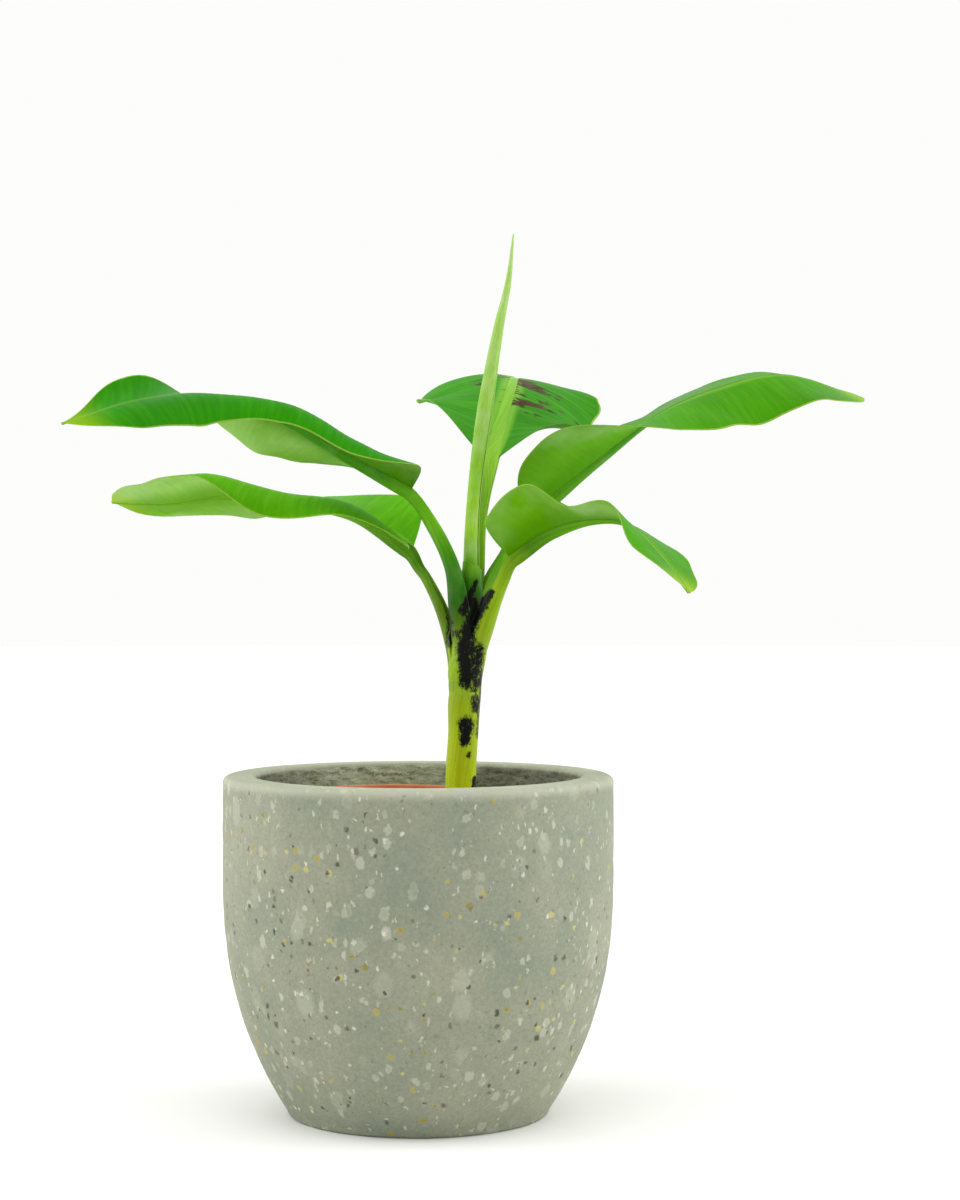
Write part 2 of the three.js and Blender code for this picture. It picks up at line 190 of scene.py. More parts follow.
def mottled(m, colour, pattern, low, high, dark, light):
    """The colour made darker and lighter, from `dark` where the pattern is low to `light` where high."""
    strength = node(m, "MapRange", {0: pattern, 1: low, 2: high, 3: dark, 4: light})
    return node(m, "VectorMath", {0: colour, "Scale": strength}, operation="SCALE")


def planter_outer(z):
    """Outer radius of the planter at height z."""
    below = np.maximum(0, PLANTER_SHOULDER - z) / PLANTER_SHOULDER
    return PLANTER_RADIUS - PLANTER_DRAW_IN * below**PLANTER_DRAW_POWER


def quarter(radius_at, z_at, radius, start, end, steps=10):
    """A rounded corner of a profile, from one angle to another in degrees."""
    angles = np.radians(np.linspace(start, end, steps))
    return [(radius_at + radius * math.cos(a), z_at + radius * math.sin(a)) for a in angles]


def planter_profile():
    """The planter's section: under the foot, up the outside, over the rim and down to the floor."""
    round_off, recess = PLANTER_FOOT_ROUND, PLANTER_RECESS
    foot = planter_outer(round_off)
    ring = foot - PLANTER_FOOT_RING
    top = PLANTER_HEIGHT - PLANTER_ROUND
    lip = PLANTER_HEIGHT - PLANTER_LIP
    inner = PLANTER_RADIUS - PLANTER_WALL
    corner = PLANTER_FLOOR + PLANTER_FLOOR_ROUND
    profile = [(0, recess), (ring - 3, recess), (ring - 1.5, 0.4), (ring, 0)]
    profile += quarter(foot - round_off, round_off, round_off, -90, -5, 6)
    profile += [(planter_outer(z), z) for z in np.arange(5, top, PLANTER_STEP)]
    profile += quarter(PLANTER_RADIUS - PLANTER_ROUND, top, PLANTER_ROUND, 0, 90)
    profile += quarter(inner + PLANTER_LIP, lip, PLANTER_LIP, 90, 180, 6)
    profile += [(planter_outer(z) - PLANTER_WALL, z) for z in np.arange(lip - 1, corner, -PLANTER_STEP)]
    floor_edge = planter_outer(PLANTER_FLOOR) - PLANTER_WALL - PLANTER_FLOOR_ROUND
    profile += quarter(floor_edge, corner, PLANTER_FLOOR_ROUND, 0, -90, 6)[1:]
    return profile + [(r, PLANTER_FLOOR) for r in (40, 20, 0)]


def terrazzo():
    """Rubbed cement: matt, softly clouded grey-green, crowded with small stone and brick chips."""
    m = new_material("terrazzo")
    place = node(m, "TexCoord").outputs["Object"]
    keys = ("inside", "rim", "painted_back_wall_light")
    inside, rim, painted_back_wall_light = (node(m, "Attribute", attribute_name=key).outputs["Fac"] for key in keys)
    cloud = node(m, "TexNoise", {"Vector": place, "Scale": waves(58.8), "Detail": 7, "Roughness": 0.66})
    colour = node(m, "ValToRGB", {0: cloud}, stops=[(0.32, "#828b7a"), (0.5, "#8f937f"), (0.68, "#9a9c86")])
    grain = node(m, "TexNoise", {"Vector": place, "Scale": waves(1.786), "Detail": 6, "Roughness": 0.8})
    colour = mottled(m, colour, grain, 0.3, 0.7, 0.8, 1.18)
    # The chips have broken outlines: each point looks them up a little off its own place.
    bend = node(m, "TexNoise", {"Vector": place, "Scale": waves(2.94), "Detail": 3})
    bend = node(m, "VectorMath", {0: bend.outputs["Color"], 1: (0.5, 0.5, 0.5)}, operation="SUBTRACT")
    bend = node(m, "VectorMath", {0: bend, "Scale": 4 * MM}, operation="SCALE")
    bent = node(m, "VectorMath", {0: place, 1: bend}, operation="ADD")
    chips = None
    for number, (cell, stretch, share, radius, soft, strength, codes) in enumerate(CHIPS):
        apart = (number * 0.37, 0, 0)
        spot = node(m, "Mapping", {0: bent, "Location": apart, "Scale": (1, 1, 1 / stretch)})
        cells = node(m, "TexVoronoi", {"Vector": spot, "Scale": waves(cell)})
        split = node(m, "SeparateColor", {0: cells.outputs["Color"]})
        herd = node(m, "TexNoise", {"Vector": spot, "Scale": waves(45.5), "Detail": 1})
        herd = node(m, "MapRange", {0: herd, 1: 0.38, 2: 0.66, 3: 1 - share * 0.15, 4: 1 - share * 2.4})
        chosen = node(m, "Math", {0: split.outputs[0], 1: herd}, operation="GREATER_THAN")
        size = node(m, "MapRange", {0: split.outputs[2], 3: 0.65, 4: 1.15})
        away = node(m, "Math", {0: cells.outputs["Distance"], 1: size}, operation="DIVIDE")
        body = node(m, "MapRange", {0: away, 1: radius, 2: radius - soft}, interpolation_type="SMOOTHSTEP")
        mask = node(m, "Math", {0: chosen, 1: body}, operation="MULTIPLY")
        mask = node(m, "Math", {0: mask, 1: strength}, operation="MULTIPLY")
        tone = node(m, "Math", {0: away, 1: 0.9, 2: split.outputs[1]}, operation="MULTIPLY_ADD")
        tint = node(m, "ValToRGB", {0: tone}, stops=[(0.3, codes[0]), (0.6, codes[1]), (0.95, codes[2])])
        colour = node(m, "Mix", {0: mask, 6: colour, 7: tint}, data_type="RGBA").outputs[2]
        chips = mask if chips is None else node(m, "Math", {0: chips, 1: mask}, operation="MAXIMUM")
    # The top of the rim is painted paler, a painted highlight where the light from above falls on it, and
    # the inner wall is left as it came off the mould.
    rim_highlight = node(m, "Math", {0: rim, 1: 0.6}, operation="MULTIPLY")
    colour = node(m, "Mix", {0: rim_highlight, 6: colour, 7: linear("#c0c1ad")}, data_type="RGBA").outputs[2]
    streak = node(m, "Mapping", {0: bent, "Scale": (0.4, 0.4, 2)})
    streak = node(m, "TexNoise", {"Vector": streak, "Scale": waves(3.45), "Detail": 8, "Roughness": 0.75})
    streak_tones = [(0.37, "#5a5d4e"), (0.47, "#8d937c"), (0.6, "#abb199")]
    rough_cement = node(m, "ValToRGB", {0: streak}, stops=streak_tones)
    # Painted light and shade: the rough inner wall is lighter at the back and darker towards its ends.
    rough_cement = mottled(m, rough_cement, painted_back_wall_light, 0, 1, 0.6, 1.7)
    colour = node(m, "Mix", {0: inside, 6: colour, 7: rough_cement}, data_type="RGBA").outputs[2]
    relief = node(m, "TexNoise", {"Vector": place, "Scale": waves(1.43), "Detail": 4, "Roughness": 0.65})
    relief = node(m, "Math", {0: chips, 1: 0.35, 2: relief}, operation="MULTIPLY_ADD")
    coarse = node(m, "Math", {0: inside, 1: streak}, operation="MULTIPLY")
    relief = node(m, "Math", {0: coarse, 1: 5, 2: relief}, operation="MULTIPLY_ADD")
    bump = node(m, "Bump", {"Height": relief, "Strength": 0.5, "Distance": 0.3 * MM})
    matt = node(m, "MapRange", {0: chips, 3: 0.72, 4: 0.42})
    shader = node(m, "BsdfPrincipled", {
        "Base Color": colour, "Roughness": matt, "Normal": bump, "IOR": 1.5, "Specular IOR Level": 0.35,
    })
    node(m, "OutputMaterial", {"Surface": shader})
    return m


def uneven_cast(angle, z):
    """The mould's and the hand's small errors, in mm."""
    x, y = 100 * np.cos(angle), 100 * np.sin(angle)
    return 0.35 * drift(11, 90, x, y, z) + 0.1 * drift(12, 14, x, y, z)


points, faces = turned(planter_profile(), PLANTER_SEGMENTS, uneven=uneven_cast)
x, y, z = points.T
radius = np.hypot(x, y)
# The rough inner face begins a millimetre under the rim.
inside = smooth((planter_outer(z) - radius - 10) / 4) * smooth((PLANTER_HEIGHT - 1 - z) / 2) * (z > 12)
rim = smooth((z - PLANTER_HEIGHT + 7) / 6)
hand_laid = 0.5 * drift(13, 9, x, y, z) + 0.3 * drift(14, 4, x, y, 2 * z)
points[:, :2] *= 1 + (inside * hand_laid / np.maximum(radius, 20))[:, None]
# Painted light and shade on the inner wall: lighter over a hand's breadth at the back, where the light from
# the front falls, and darker elsewhere, as painted shade.
painted_back_wall_light = np.exp(-(((x + 18) / 48) ** 4)) * smooth(y / 40)
planter = piece("planter_cast", points, faces, [terrazzo()], {"inside": inside, "rim": rim, "painted_back_wall_light": painted_back_wall_light})
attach(planter, "root")
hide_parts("planter")

# Clay pebbles
# Fired clay balls for drainage, poured loose into the planter so that the grower's pot stands on
# them. They are rough, brown outside and a little flattened, about a centimetre across.
PEBBLE_LEVEL = 68.4
PEBBLE_COUNT = 430
PEBBLE_SIZES = (4.2, 6.2)
PEBBLE_FORM = (1, 1, 0.84)
PEBBLE_ROUGHNESS = 0.09
BED_TOP = 61
GOLDEN_ANGLE = 2.39996
PEBBLE_TONES = [(0.35, "#5a3526"), (0.6, "#7d4a33"), (0.85, "#a06a4a"), (1, "#b98c6c")]


def ball(subdivisions):
    """Points and triangles of a unit ball."""
    shape = bmesh.new()
    bmesh.ops.create_icosphere(shape, subdivisions=subdivisions, radius=1)
    points = np.array([v.co[:] for v in shape.verts])
    faces = np.array([[v.index for v in f.verts] for f in shape.faces])
    shape.free()
    return points, faces


def turn(random):
    """A random rotation."""
    q, _ = np.linalg.qr(random.normal(size=(3, 3)))
    return q * np.sign(np.linalg.det(q))


def scattered(spots, sizes, form, random, subdivisions, roughness):
    """Points, faces and shades of many uneven lumps, each with a shape of its own, joined in one mesh."""
    unit, triangles = ball(subdivisions)
    points, faces, shades = [], [], []
    for number, (spot, size) in enumerate(zip(spots, sizes)):
        lump = unit * (1 + roughness * drift(random.integers(1 << 30), 1.3, *unit.T)[:, None])
        lump = (lump * form * random.uniform(0.85, 1.15, 3)) @ turn(random).T
        points.append(lump * size + spot)
        faces.append(triangles + number * len(unit))
        shades.append(np.full(len(unit), random.random()))
    return np.vstack(points), np.vstack(faces), np.concatenate(shades)


def fired_clay():
    """Expanded clay: a dull brick-brown skin with a dusty, finely pitted surface."""
    m = new_material("fired_clay")
    place = node(m, "TexCoord").outputs["Object"]
    shade = node(m, "Attribute", attribute_name="shade").outputs["Fac"]
    dust = node(m, "TexNoise", {"Vector": place, "Scale": waves(2.63), "Detail": 4, "Roughness": 0.65})
    mixed = node(m, "Math", {0: shade, 1: 0.45, 2: dust}, operation="MULTIPLY_ADD")
    colour = node(m, "ValToRGB", {0: mixed}, stops=PEBBLE_TONES)
    pits = node(m, "TexNoise", {"Vector": place, "Scale": waves(0.556), "Detail": 3})
    bump = node(m, "Bump", {"Height": pits, "Strength": 0.6, "Distance": 0.3 * MM})
    rough = node(m, "MapRange", {0: dust, 3: 0.8, 4: 0.98})
    shader = node(m, "BsdfPrincipled", {
        "Base Color": colour, "Roughness": rough, "Normal": bump, "IOR": 1.5,
    })
    node(m, "OutputMaterial", {"Surface": shader})
    return m


def bed_edge(angle, z):
    """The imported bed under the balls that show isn't quite round."""
    return 0.3 * np.sin(7 * angle + z)


# The balls lie in an even spiral, every second one a little deeper than its neighbours.
random = np.random.default_rng(5)
reach = planter_outer(66) - PLANTER_WALL - 7
spots, sizes = [], []
for number in range(PEBBLE_COUNT):
    away = reach * math.sqrt((number + 0.5) / PEBBLE_COUNT)
    around = number * GOLDEN_ANGLE
    size = random.uniform(*PEBBLE_SIZES)
    deeper = (number % 2) * random.uniform(1.5, 4)
    height = PEBBLE_LEVEL - size * 0.86 - deeper
    spots.append([away * math.cos(around), away * math.sin(around), height])
    sizes.append(size)
points, faces, shade = scattered(spots, sizes, PEBBLE_FORM, random, 3, PEBBLE_ROUGHNESS)
bed_bottom = PLANTER_FLOOR + 0.3
bed_side = [(planter_outer(z) - PLANTER_WALL - 0.6, z) for z in (24, 34, 44, 54, 60)]
bed = [(0, bed_bottom), (40, bed_bottom), (planter_outer(20) - PLANTER_WALL - 4, bed_bottom)] + bed_side
bed += [(80, BED_TOP + 0.5)] + [(r, BED_TOP) for r in (60, 40, 20, 0)]
base_points, base_faces = turned(bed, 96, uneven=bed_edge)
faces = base_faces + (faces + len(base_points)).tolist()
shade = np.concatenate([np.full(len(base_points), 0.1), shade])
pebbles = piece("clay_pebbles", np.vstack([base_points, points]), faces, [fired_clay()], {"shade": shade})
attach(pebbles, "root")
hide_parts("pebble_bed")

# Nursery pot
# The grower's pot the plant was raised in: thin moulded polypropylene in brick orange, tapered to
# nest, with a turned-out band round the rim that stiffens it.
NURSERY_X = -13
NURSERY_BASE = 69
NURSERY_HEIGHT = 111
NURSERY_RIM = 60
NURSERY_BAND = 12
NURSERY_BODY_TOP = 56.5
NURSERY_FOOT = 44
NURSERY_WALL = 1.8


def moulded_polypropylene():
    """Brick-orange polypropylene: an even colour with a low sheen and faint flow marks."""
    m = new_material("moulded_polypropylene")
    place = node(m, "TexCoord").outputs["Object"]
    flow = node(m, "Mapping", {0: place, "Scale": (1, 1, 0.3)})
    flow = node(m, "TexNoise", {"Vector": flow, "Scale": waves(16.67), "Detail": 3})
    colour = node(m, "ValToRGB", {0: flow}, stops=[(0.3, "#de7548"), (0.6, "#ec8a5c"), (0.8, "#f1986f")])
    orange_peel = node(m, "TexNoise", {"Vector": place, "Scale": waves(0.714), "Detail": 2})
    bump = node(m, "Bump", {"Height": orange_peel, "Strength": 0.2, "Distance": 0.2 * MM})
    rough = node(m, "MapRange", {0: flow, 3: 0.38, 4: 0.55})
    shader = node(m, "BsdfPrincipled", {
        "Base Color": colour, "Roughness": rough, "Normal": bump, "IOR": 1.49,
    })
    node(m, "OutputMaterial", {"Surface": shader})
    return m


def nursery_body(z):
    """Outer radius of the tapered body between the foot and the band."""
    share = (z - NURSERY_BASE - 2) / (NURSERY_HEIGHT - NURSERY_BAND - 2)
    return NURSERY_FOOT + (NURSERY_BODY_TOP - NURSERY_FOOT) * share


def nursery_profile():
    """The pot's section: under the foot, up to the band and rim, and down to the floor."""
    base, rim, wall = NURSERY_BASE, NURSERY_RIM, NURSERY_WALL
    top = base + NURSERY_HEIGHT
    band = top - NURSERY_BAND
    profile = [(0, base + 0.6), (NURSERY_FOOT - 6, base + 0.6), (NURSERY_FOOT - 5, base)]
    profile += quarter(NURSERY_FOOT - 2, base + 2, 2, -90, -10, 5)
    profile += [(nursery_body(z), z) for z in np.linspace(base + 2, band - 0.5, 40)]
    profile += [(NURSERY_BODY_TOP + 0.4, band), (rim - 1.2, band + 0.1)]
    profile += quarter(rim - 0.8, band + 0.9, 0.8, -90, 0, 4)
    profile += [(rim, z) for z in np.linspace(band + 2, top - 2, 8)]
    profile += quarter(rim - 0.9, top - 0.9, 0.9, 0, 180, 8)
    profile += [(rim - wall - 0.2, z) for z in (top - 4, band + 4)]
    profile += [(rim - wall - 0.8, band + 2), (nursery_body(band) - wall + 0.2, band - 0.5)]
    profile += [(nursery_body(z) - wall, z) for z in np.linspace(band - 2, base + 4, 40)]
    floor = base + wall
    return profile + [(NURSERY_FOOT - wall - 1.6, floor + 0.2), (30, floor), (0, floor)]


def out_of_round(angle, z):
    """A thin pot is pressed a little oval by what fills it."""
    return 0.12 * np.sin(2 * angle + z / 40)


points, faces = turned(nursery_profile(), 180, centre=(NURSERY_X, 0), uneven=out_of_round)
nursery_pot = piece("grower_pot", points, faces, [moulded_polypropylene()])
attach(nursery_pot, "root")
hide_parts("nursery_pot")

# Potting soil
# Dark peat and bark compost that fills the grower's pot to its rim, with loose crumbs, flakes of
# bark and a few white perlite grains lying on top.
SOIL_LEVEL = 171.3
SOIL_RADIUS = 54.2
STEM_FOOT = (24, 0)
STEM_CLEARING = 11
CRUMB_COUNT = 900
CRUMB_SIZE = 2.2
CRUMB_FORM = (1.25, 1, 0.6)
CRUMB_ROUGHNESS = 0.22
PERLITE_SHARE = 0.035
SOIL_TONES = [(0.35, "#1d1611"), (0.55, "#33271d"), (0.75, "#4c3928"), (0.9, "#6e5439"), (1, "#8a6c4a")]


def soil_height(x, y):
    """Height of the lumpy soil at a place; it is pressed smooth round the stem."""
    away = np.hypot(x - STEM_FOOT[0], y - STEM_FOOT[1])
    open_ground = smooth((away - 10) / 12)
    lumps = 0.9 * drift(21, 26, x, y) + 0.5 * drift(22, 9, x, y) + 0.25 * drift(23, 3.5, x, y)
    return SOIL_LEVEL + 1.1 * (1 - open_ground) + open_ground * lumps


def compost():
    """Damp compost: almost black brown, crumbly and quite matt, with lighter fibres and grains."""
    m = new_material("compost")
    place = node(m, "TexCoord").outputs["Object"]
    shade = node(m, "Attribute", attribute_name="shade").outputs["Fac"]
    crumb = node(m, "TexNoise", {"Vector": place, "Scale": waves(2), "Detail": 5, "Roughness": 0.7})
    mixed = node(m, "Math", {0: shade, 1: 0.35, 2: crumb}, operation="MULTIPLY_ADD")
    colour = node(m, "ValToRGB", {0: mixed}, stops=SOIL_TONES)
    perlite = node(m, "MapRange", {0: shade, 1: 1.4, 2: 1.6})
    colour = node(m, "Mix", {0: perlite, 6: colour, 7: linear("#d9d4c6")}, data_type="RGBA").outputs[2]
    bump = node(m, "Bump", {"Height": crumb, "Strength": 0.9, "Distance": 0.8 * MM})
    rough = node(m, "MapRange", {0: crumb, 3: 0.85, 4: 1})
    shader = node(m, "BsdfPrincipled", {
        "Base Color": colour, "Roughness": rough, "Normal": bump, "IOR": 1.45,
    })
    node(m, "OutputMaterial", {"Surface": shader})
    return m


soil_bottom = NURSERY_BASE + 2.2
profile = [(0, soil_bottom), (40.5, soil_bottom), (42, NURSERY_BASE + 5), (53.6, 162)]
profile += [(SOIL_RADIUS - 0.4, SOIL_LEVEL - 2)]
profile += [(r, SOIL_LEVEL) for r in np.linspace(SOIL_RADIUS - 0.6, 0.7, 90)] + [(0, SOIL_LEVEL)]
points, faces = turned(profile, 240, centre=(NURSERY_X, 0))
on_top = points[:, 2] > SOIL_LEVEL - 0.5
points[on_top, 2] = soil_height(points[on_top, 0], points[on_top, 1])
random = np.random.default_rng(8)
spots, sizes = [], []
for number in range(CRUMB_COUNT):
    away = (SOIL_RADIUS - 3) * math.sqrt(random.random())
    around = random.uniform(0, 2 * math.pi)
    x, y = NURSERY_X + away * math.cos(around), away * math.sin(around)
    if math.hypot(x - STEM_FOOT[0], y - STEM_FOOT[1]) > STEM_CLEARING:
        size = random.uniform(0.5, 1) ** 2 * CRUMB_SIZE
        spots.append([x, y, float(soil_height(x, y)) + size * 0.3])
        sizes.append(size)
crumbs, crumb_faces, crumb_shade = scattered(spots, sizes, CRUMB_FORM, random, 2, CRUMB_ROUGHNESS)
crumb_shade[crumb_shade > 1 - PERLITE_SHARE] = 2
faces = faces + (crumb_faces + len(points)).tolist()
shade = np.concatenate([np.full(len(points), 0.3), crumb_shade])
soil = piece("compost", np.vstack([points, crumbs]), faces, [compost()], {"shade": shade})
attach(soil, "root")
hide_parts("potting_soil")

# Leaf sheaths, stalks and midribs
# Each leaf is one organ: a thin sheath wrapped round the younger ones makes the false stem, narrows
# to a channelled stalk and runs on as the midrib. The older the leaf, the further out its sheath.
STEM_BOTTOM = 171.4
STEM_HEIGHTS = (172.6, 304.2)
STEM_X = [24.0, 24.0, 25.4, 26.2, 27.4, 28.0, 29.2]
STEM_RADII = [8.9, 8.6, 8.6, 9.4, 11.4, 11.0, 8.0]
SHEATH_THICKNESS = 1.5
SHEATH_EASE = 24
RING_HALF = 41
RING_STEP = 1.1
STALK_DROP = 0.55
STALK_JOIN = 24
# The oldest leaf comes first. Every list has equally spaced stations from base to tip, in mm and
# degrees. A half-blade leaves the rib at an angle (lift), bends over its width (curl) and leans
# along the rib (sweep); `base` is the share of its length that widens.
LEAVES = {
    "front_right": dict(
        azimuth=[-38, -36, -28, -20, -16, -14],
        stalk=[(31.5, -4, 255), (37.5, -10, 275.5), (42.5, -14, 289), (47.5, -18, 300.5)],
        stalk_radii=[5.5, 5.5, 4.6, 4, 3.8],
        rib=[
            (53, -22, 313), (74, -38, 326), (96, -52, 333),
            (115, -62, 331), (131, -70, 316), (147, -76, 294),
        ],
        rib_radius=3.8, tip=2.4,
        left=dict(
            width=40, base=0.07, corner=4, lift=[18, 12, 5, -5, 5, 5],
            curl=[5, 0, -5, -5, 0, 5], sweep=[-0.25, -0.15, 0.5],
        ),
        right=dict(
            width=38, base=0.04, corner=2, lift=[35, 65, 20, 15, -5, 0],
            curl=[-35, -45, -15, 0, 0, 5], sweep=[0.3, 0, -0.15],
        ),
    ),
    "lower_left": dict(
        azimuth=[167, 167],
        stalk=[(20.5, 2, 260.5), (14.5, 4, 282), (6, 7, 299.5), (0, 9.5, 308)],
        stalk_radii=[5, 4.6, 3.8, 3.8, 3.7],
        rib=[
            (-5, 12, 317), (-39, 22, 337), (-75, 32, 344),
            (-111, 42, 348), (-145, 50, 344), (-181, 60, 346),
        ],
        rib_radius=3.6, tip=2.6,
        left=dict(
            width=38, base=0.22, corner=2, lift=[40, 50, 55, 60, 40, 10],
            curl=[-45, -100, -145, -80, -40, 5], sweep=[-0.4, 0.2, 0.3],
        ),
        right=dict(
            width=39, base=0.08, corner=2.5, lift=[60, 25, 10, -15, -10, -20],
            curl=[-15, -15, -5, -5, 0, -5], sweep=[0.3, -0.1, -0.05],
        ),
    ),
    "upper_left": dict(
        azimuth=[203, 203],
        stalk=[(25.5, -4, 266.5), (23.5, -7, 285.5), (19.5, -9, 308), (8.5, -12, 331)],
        stalk_radii=[7, 6.6, 5, 4.3, 3.8],
        rib=[
            (-5, -14, 351), (-40, -32, 369), (-74, -48, 389),
            (-114, -64, 401), (-152, -78, 396), (-187, -90, 384),
        ],
        rib_radius=3.8, tip=2.3,
        left=dict(
            width=44, base=0.04, corner=4, lift=[30, 40, 40, 3, -3, -22],
            curl=[-40, -95, -108, -60, -40, 0], sweep=[0.35, 0.2, -0.15],
        ),
        right=dict(
            width=40, base=0.14, corner=2, lift=[15, 0, -15, -9, 4, -20],
            curl=[-10, -20, -20, 10, 38, 40], sweep=[0.5, -0.15, -0.15],
        ),
    ),
    "upper_right": dict(
        azimuth=[14, 14],
        stalk=[(33.5, 0, 285.5), (40, 4, 301.5), (46.5, 9, 312), (55, 14, 325)],
        stalk_radii=[5, 4.4, 4.2, 4, 3.8],
        rib=[
            (65, 18, 338), (102, 28, 368), (136, 40, 395),
            (172, 54, 412), (214, 66, 421), (262, 78, 408),
        ],
        rib_radius=3.8, tip=2.2,
        left=dict(
            width=50, base=0.12, corner=2, lift=[30, 15, 0, 4, 3, 10],
            curl=[0, -5, -5, -5, 5, 15], sweep=[0.2, 0.25, -0.15],
        ),
        right=dict(
            width=50, base=0.25, corner=2, lift=[60, 45, 5, -20, -20, -15],
            curl=[0, -10, -30, -20, -5, 0], sweep=[-0.4, -0.15, 0.65],
        ),
    ),
    "back": dict(
        azimuth=[78, 78],
        stalk=[(32.5, 4, 289), (33.5, 10, 311.5), (34.5, 17, 331.5), (37, 26, 349)],
        stalk_radii=[4, 3.8, 3.8, 3.9, 4],
        rib=[
            (41, 40, 371), (46, 62, 390), (53, 96, 414),
            (57, 132, 424), (64, 168, 417), (69, 198, 398),
        ],
        rib_radius=5, tip=1.3,
        left=dict(
            width=60, base=0.45, corner=2.4, lift=[8, 8, 4, 15, 8, 0],
            curl=[0, -15, -28, -50, -35, -10], sweep=[1.2, 0.6, 0.1, 0, -0.2, -0.3],
        ),
        right=dict(
            width=56, base=0.4, corner=2, lift=[5, -8, -15, -8, -5, 0],
            curl=[0, -35, -38, -22, -15, 0], sweep=[1.2, 0.5, 0, -0.1, -0.35, -0.4],
        ),
    ),
}
# Dark pigment on the front of the stem: x, height and half-width (mm) at both ends of each stroke,
# and its strength.
PIGMENT = [
    (32.7, 299.5, 0.7, 25.6, 283.0, 2.0, 1.0),
    (29.5, 290.0, 1.4, 33.0, 283.0, 2.3, 1.05),
    (41.2, 293.6, 1.0, 33.5, 283.0, 2.6, 1.05),
    (33.0, 284.0, 2.7, 25.2, 264.5, 2.3, 1.15),
    (29.5, 269.0, 2.0, 30.5, 258.0, 2.4, 0.8),
    (26.0, 262.0, 2.7, 27.0, 243.5, 2.4, 1.1),
    (30.2, 257.0, 1.2, 30.4, 245.0, 1.2, 0.86),
    (33.4, 262.0, 2.2, 33.2, 242.0, 2.2, 0.86),
    (25.0, 240.5, 1.0, 33.0, 239.0, 1.5, 0.6),
    (32.0, 233.8, 1.4, 32.2, 228.0, 1.6, 0.86),
    (27.0, 219.5, 2.8, 26.4, 209.5, 1.7, 1.1),
    (28.4, 202.4, 0.9, 28.4, 201.6, 0.8, 0.8),
    (31.4, 188.6, 0.8, 31.6, 180.0, 1.4, 0.9),
    (9.0, 301.0, 0.5, 15.8, 287.0, 0.8, 0.66),
    (15.8, 287.0, 0.8, 17.8, 276.0, 1.2, 0.8),
    (17.8, 277.0, 1.2, 17.4, 264.0, 1.3, 0.66),
    (17.0, 269.5, 1.3, 24.0, 270.5, 1.8, 0.66),
    (35.8, 262.0, 1.0, 33.4, 212.0, 0.7, 0.56),
]


def through(stations, t):
    """Smooth value through equally spaced stations, numbers or points, for t from 0 to 1."""
    s = np.asarray(stations, float)
    t = np.asarray(t, float)
    last = len(s) - 1
    x = np.clip(t, 0, 1) * last
    i = np.minimum(x.astype(int), last - 1)
    f = x - i
    if s.ndim > 1:
        f = f[..., None]
    s = np.concatenate([[2 * s[0] - s[1]], s, [2 * s[-1] - s[-2]]])
    p0, p1, p2, p3 = s[i], s[i + 1], s[i + 2], s[i + 3]
    return p1 + 0.5 * f * (p2 - p0 + f * (2 * p0 - 5 * p1 + 4 * p2 - p3 + f * (3 * (p1 - p2) + p3 - p0)))


def unit(v):
    """Vectors made one long."""
    return v / np.linalg.norm(v, axis=-1, keepdims=True)


def distances(line):
    """How far along a line of points each of them lies."""
    steps = np.linalg.norm(np.diff(np.asarray(line, float), axis=0), axis=1)
    return np.concatenate([[0], np.cumsum(steps)])


def directions(along, azimuth):
    """Left and up directions of a limb that runs `along`, on a leaf that heads to `azimuth` degrees."""
    a = np.radians(azimuth)
    side = np.stack([-np.sin(a), np.cos(a), np.zeros_like(a)], -1)
    side = unit(side - along * (side * along).sum(-1, keepdims=True))
    return side, np.cross(along, side)


def placed(ring, at, side, up):
    """Rings of (side, up) points set on a line of places, each with its own two directions."""
    return at[:, None] + ring[..., :1] * side[:, None] + ring[..., 1:] * up[:, None]


def rib_frame(leaf, t):
    """Place, direction, left and up of the rib at t."""
    step = 1e-3
    before = through(leaf["rib"], np.maximum(t - step, 0))
    after = through(leaf["rib"], np.minimum(t + step, 1))
    along = unit(after - before)
    side, up = directions(along, through(leaf["azimuth"], t))
    return through(leaf["rib"], t), along, side, up


def half_surface(half, out, width, t):
    """Across, rise and slope of one half's upper surface at distance `out` from the rib's middle."""
    lift = np.radians(through(half["lift"], t))
    curl = np.radians(through(half["curl"], t))
    curl = np.where(np.abs(curl) < 1e-3, 1e-3, curl)
    slope = lift + curl * out / width
    across = width * (np.sin(slope) - np.sin(lift)) / curl
    rise = width * (np.cos(lift) - np.cos(slope)) / curl
    return across, rise, slope


def outline(half, tip, t):
    """Share of its full width that a half-blade has at t; a high `corner` makes its base squarer."""
    base, corner = half["base"], half["corner"]
    widening = np.clip(1 - np.clip(1 - t / base, 0, 1) ** corner, 0, 1) ** (1 / corner)
    narrowing = np.cos(math.pi / 2 * np.clip((t - 0.5) / 0.5, 0, 1) ** tip)
    return np.where(t < base, widening, narrowing)


def rib_half_width(leaf, t):
    """Half the width of the midrib, which tapers to a fifth at the tip."""
    return leaf["rib_radius"] * (1 - 0.8 * t)


def leaves_stem_at(leaf):
    """Height where a leaf's stalk leaves the stem."""
    return leaf["stalk"][0][2]


def stem_at(z):
    """The stem's middle and radius at height z."""
    t = (z - STEM_HEIGHTS[0]) / (STEM_HEIGHTS[1] - STEM_HEIGHTS[0])
    return through(STEM_X, t), through(STEM_RADII, t)


def channel_ring(radius, opening, thickness, rise):
    """Ring of an open channel in (side, up): the outer arc from lip to lip, then the inner one back."""
    c = np.linspace(-1, 1, RING_HALF)
    angle = c * opening
    outer = np.stack([radius * np.sin(angle), rise - radius * np.cos(angle)], -1)
    wall = thickness * (0.2 + 0.8 * np.sqrt(1 - c * c))
    inner = np.stack([(radius - wall) * np.sin(angle), rise - (radius - wall) * np.cos(angle)], -1)
    return np.concatenate([outer, inner[..., ::-1, :]], -2)


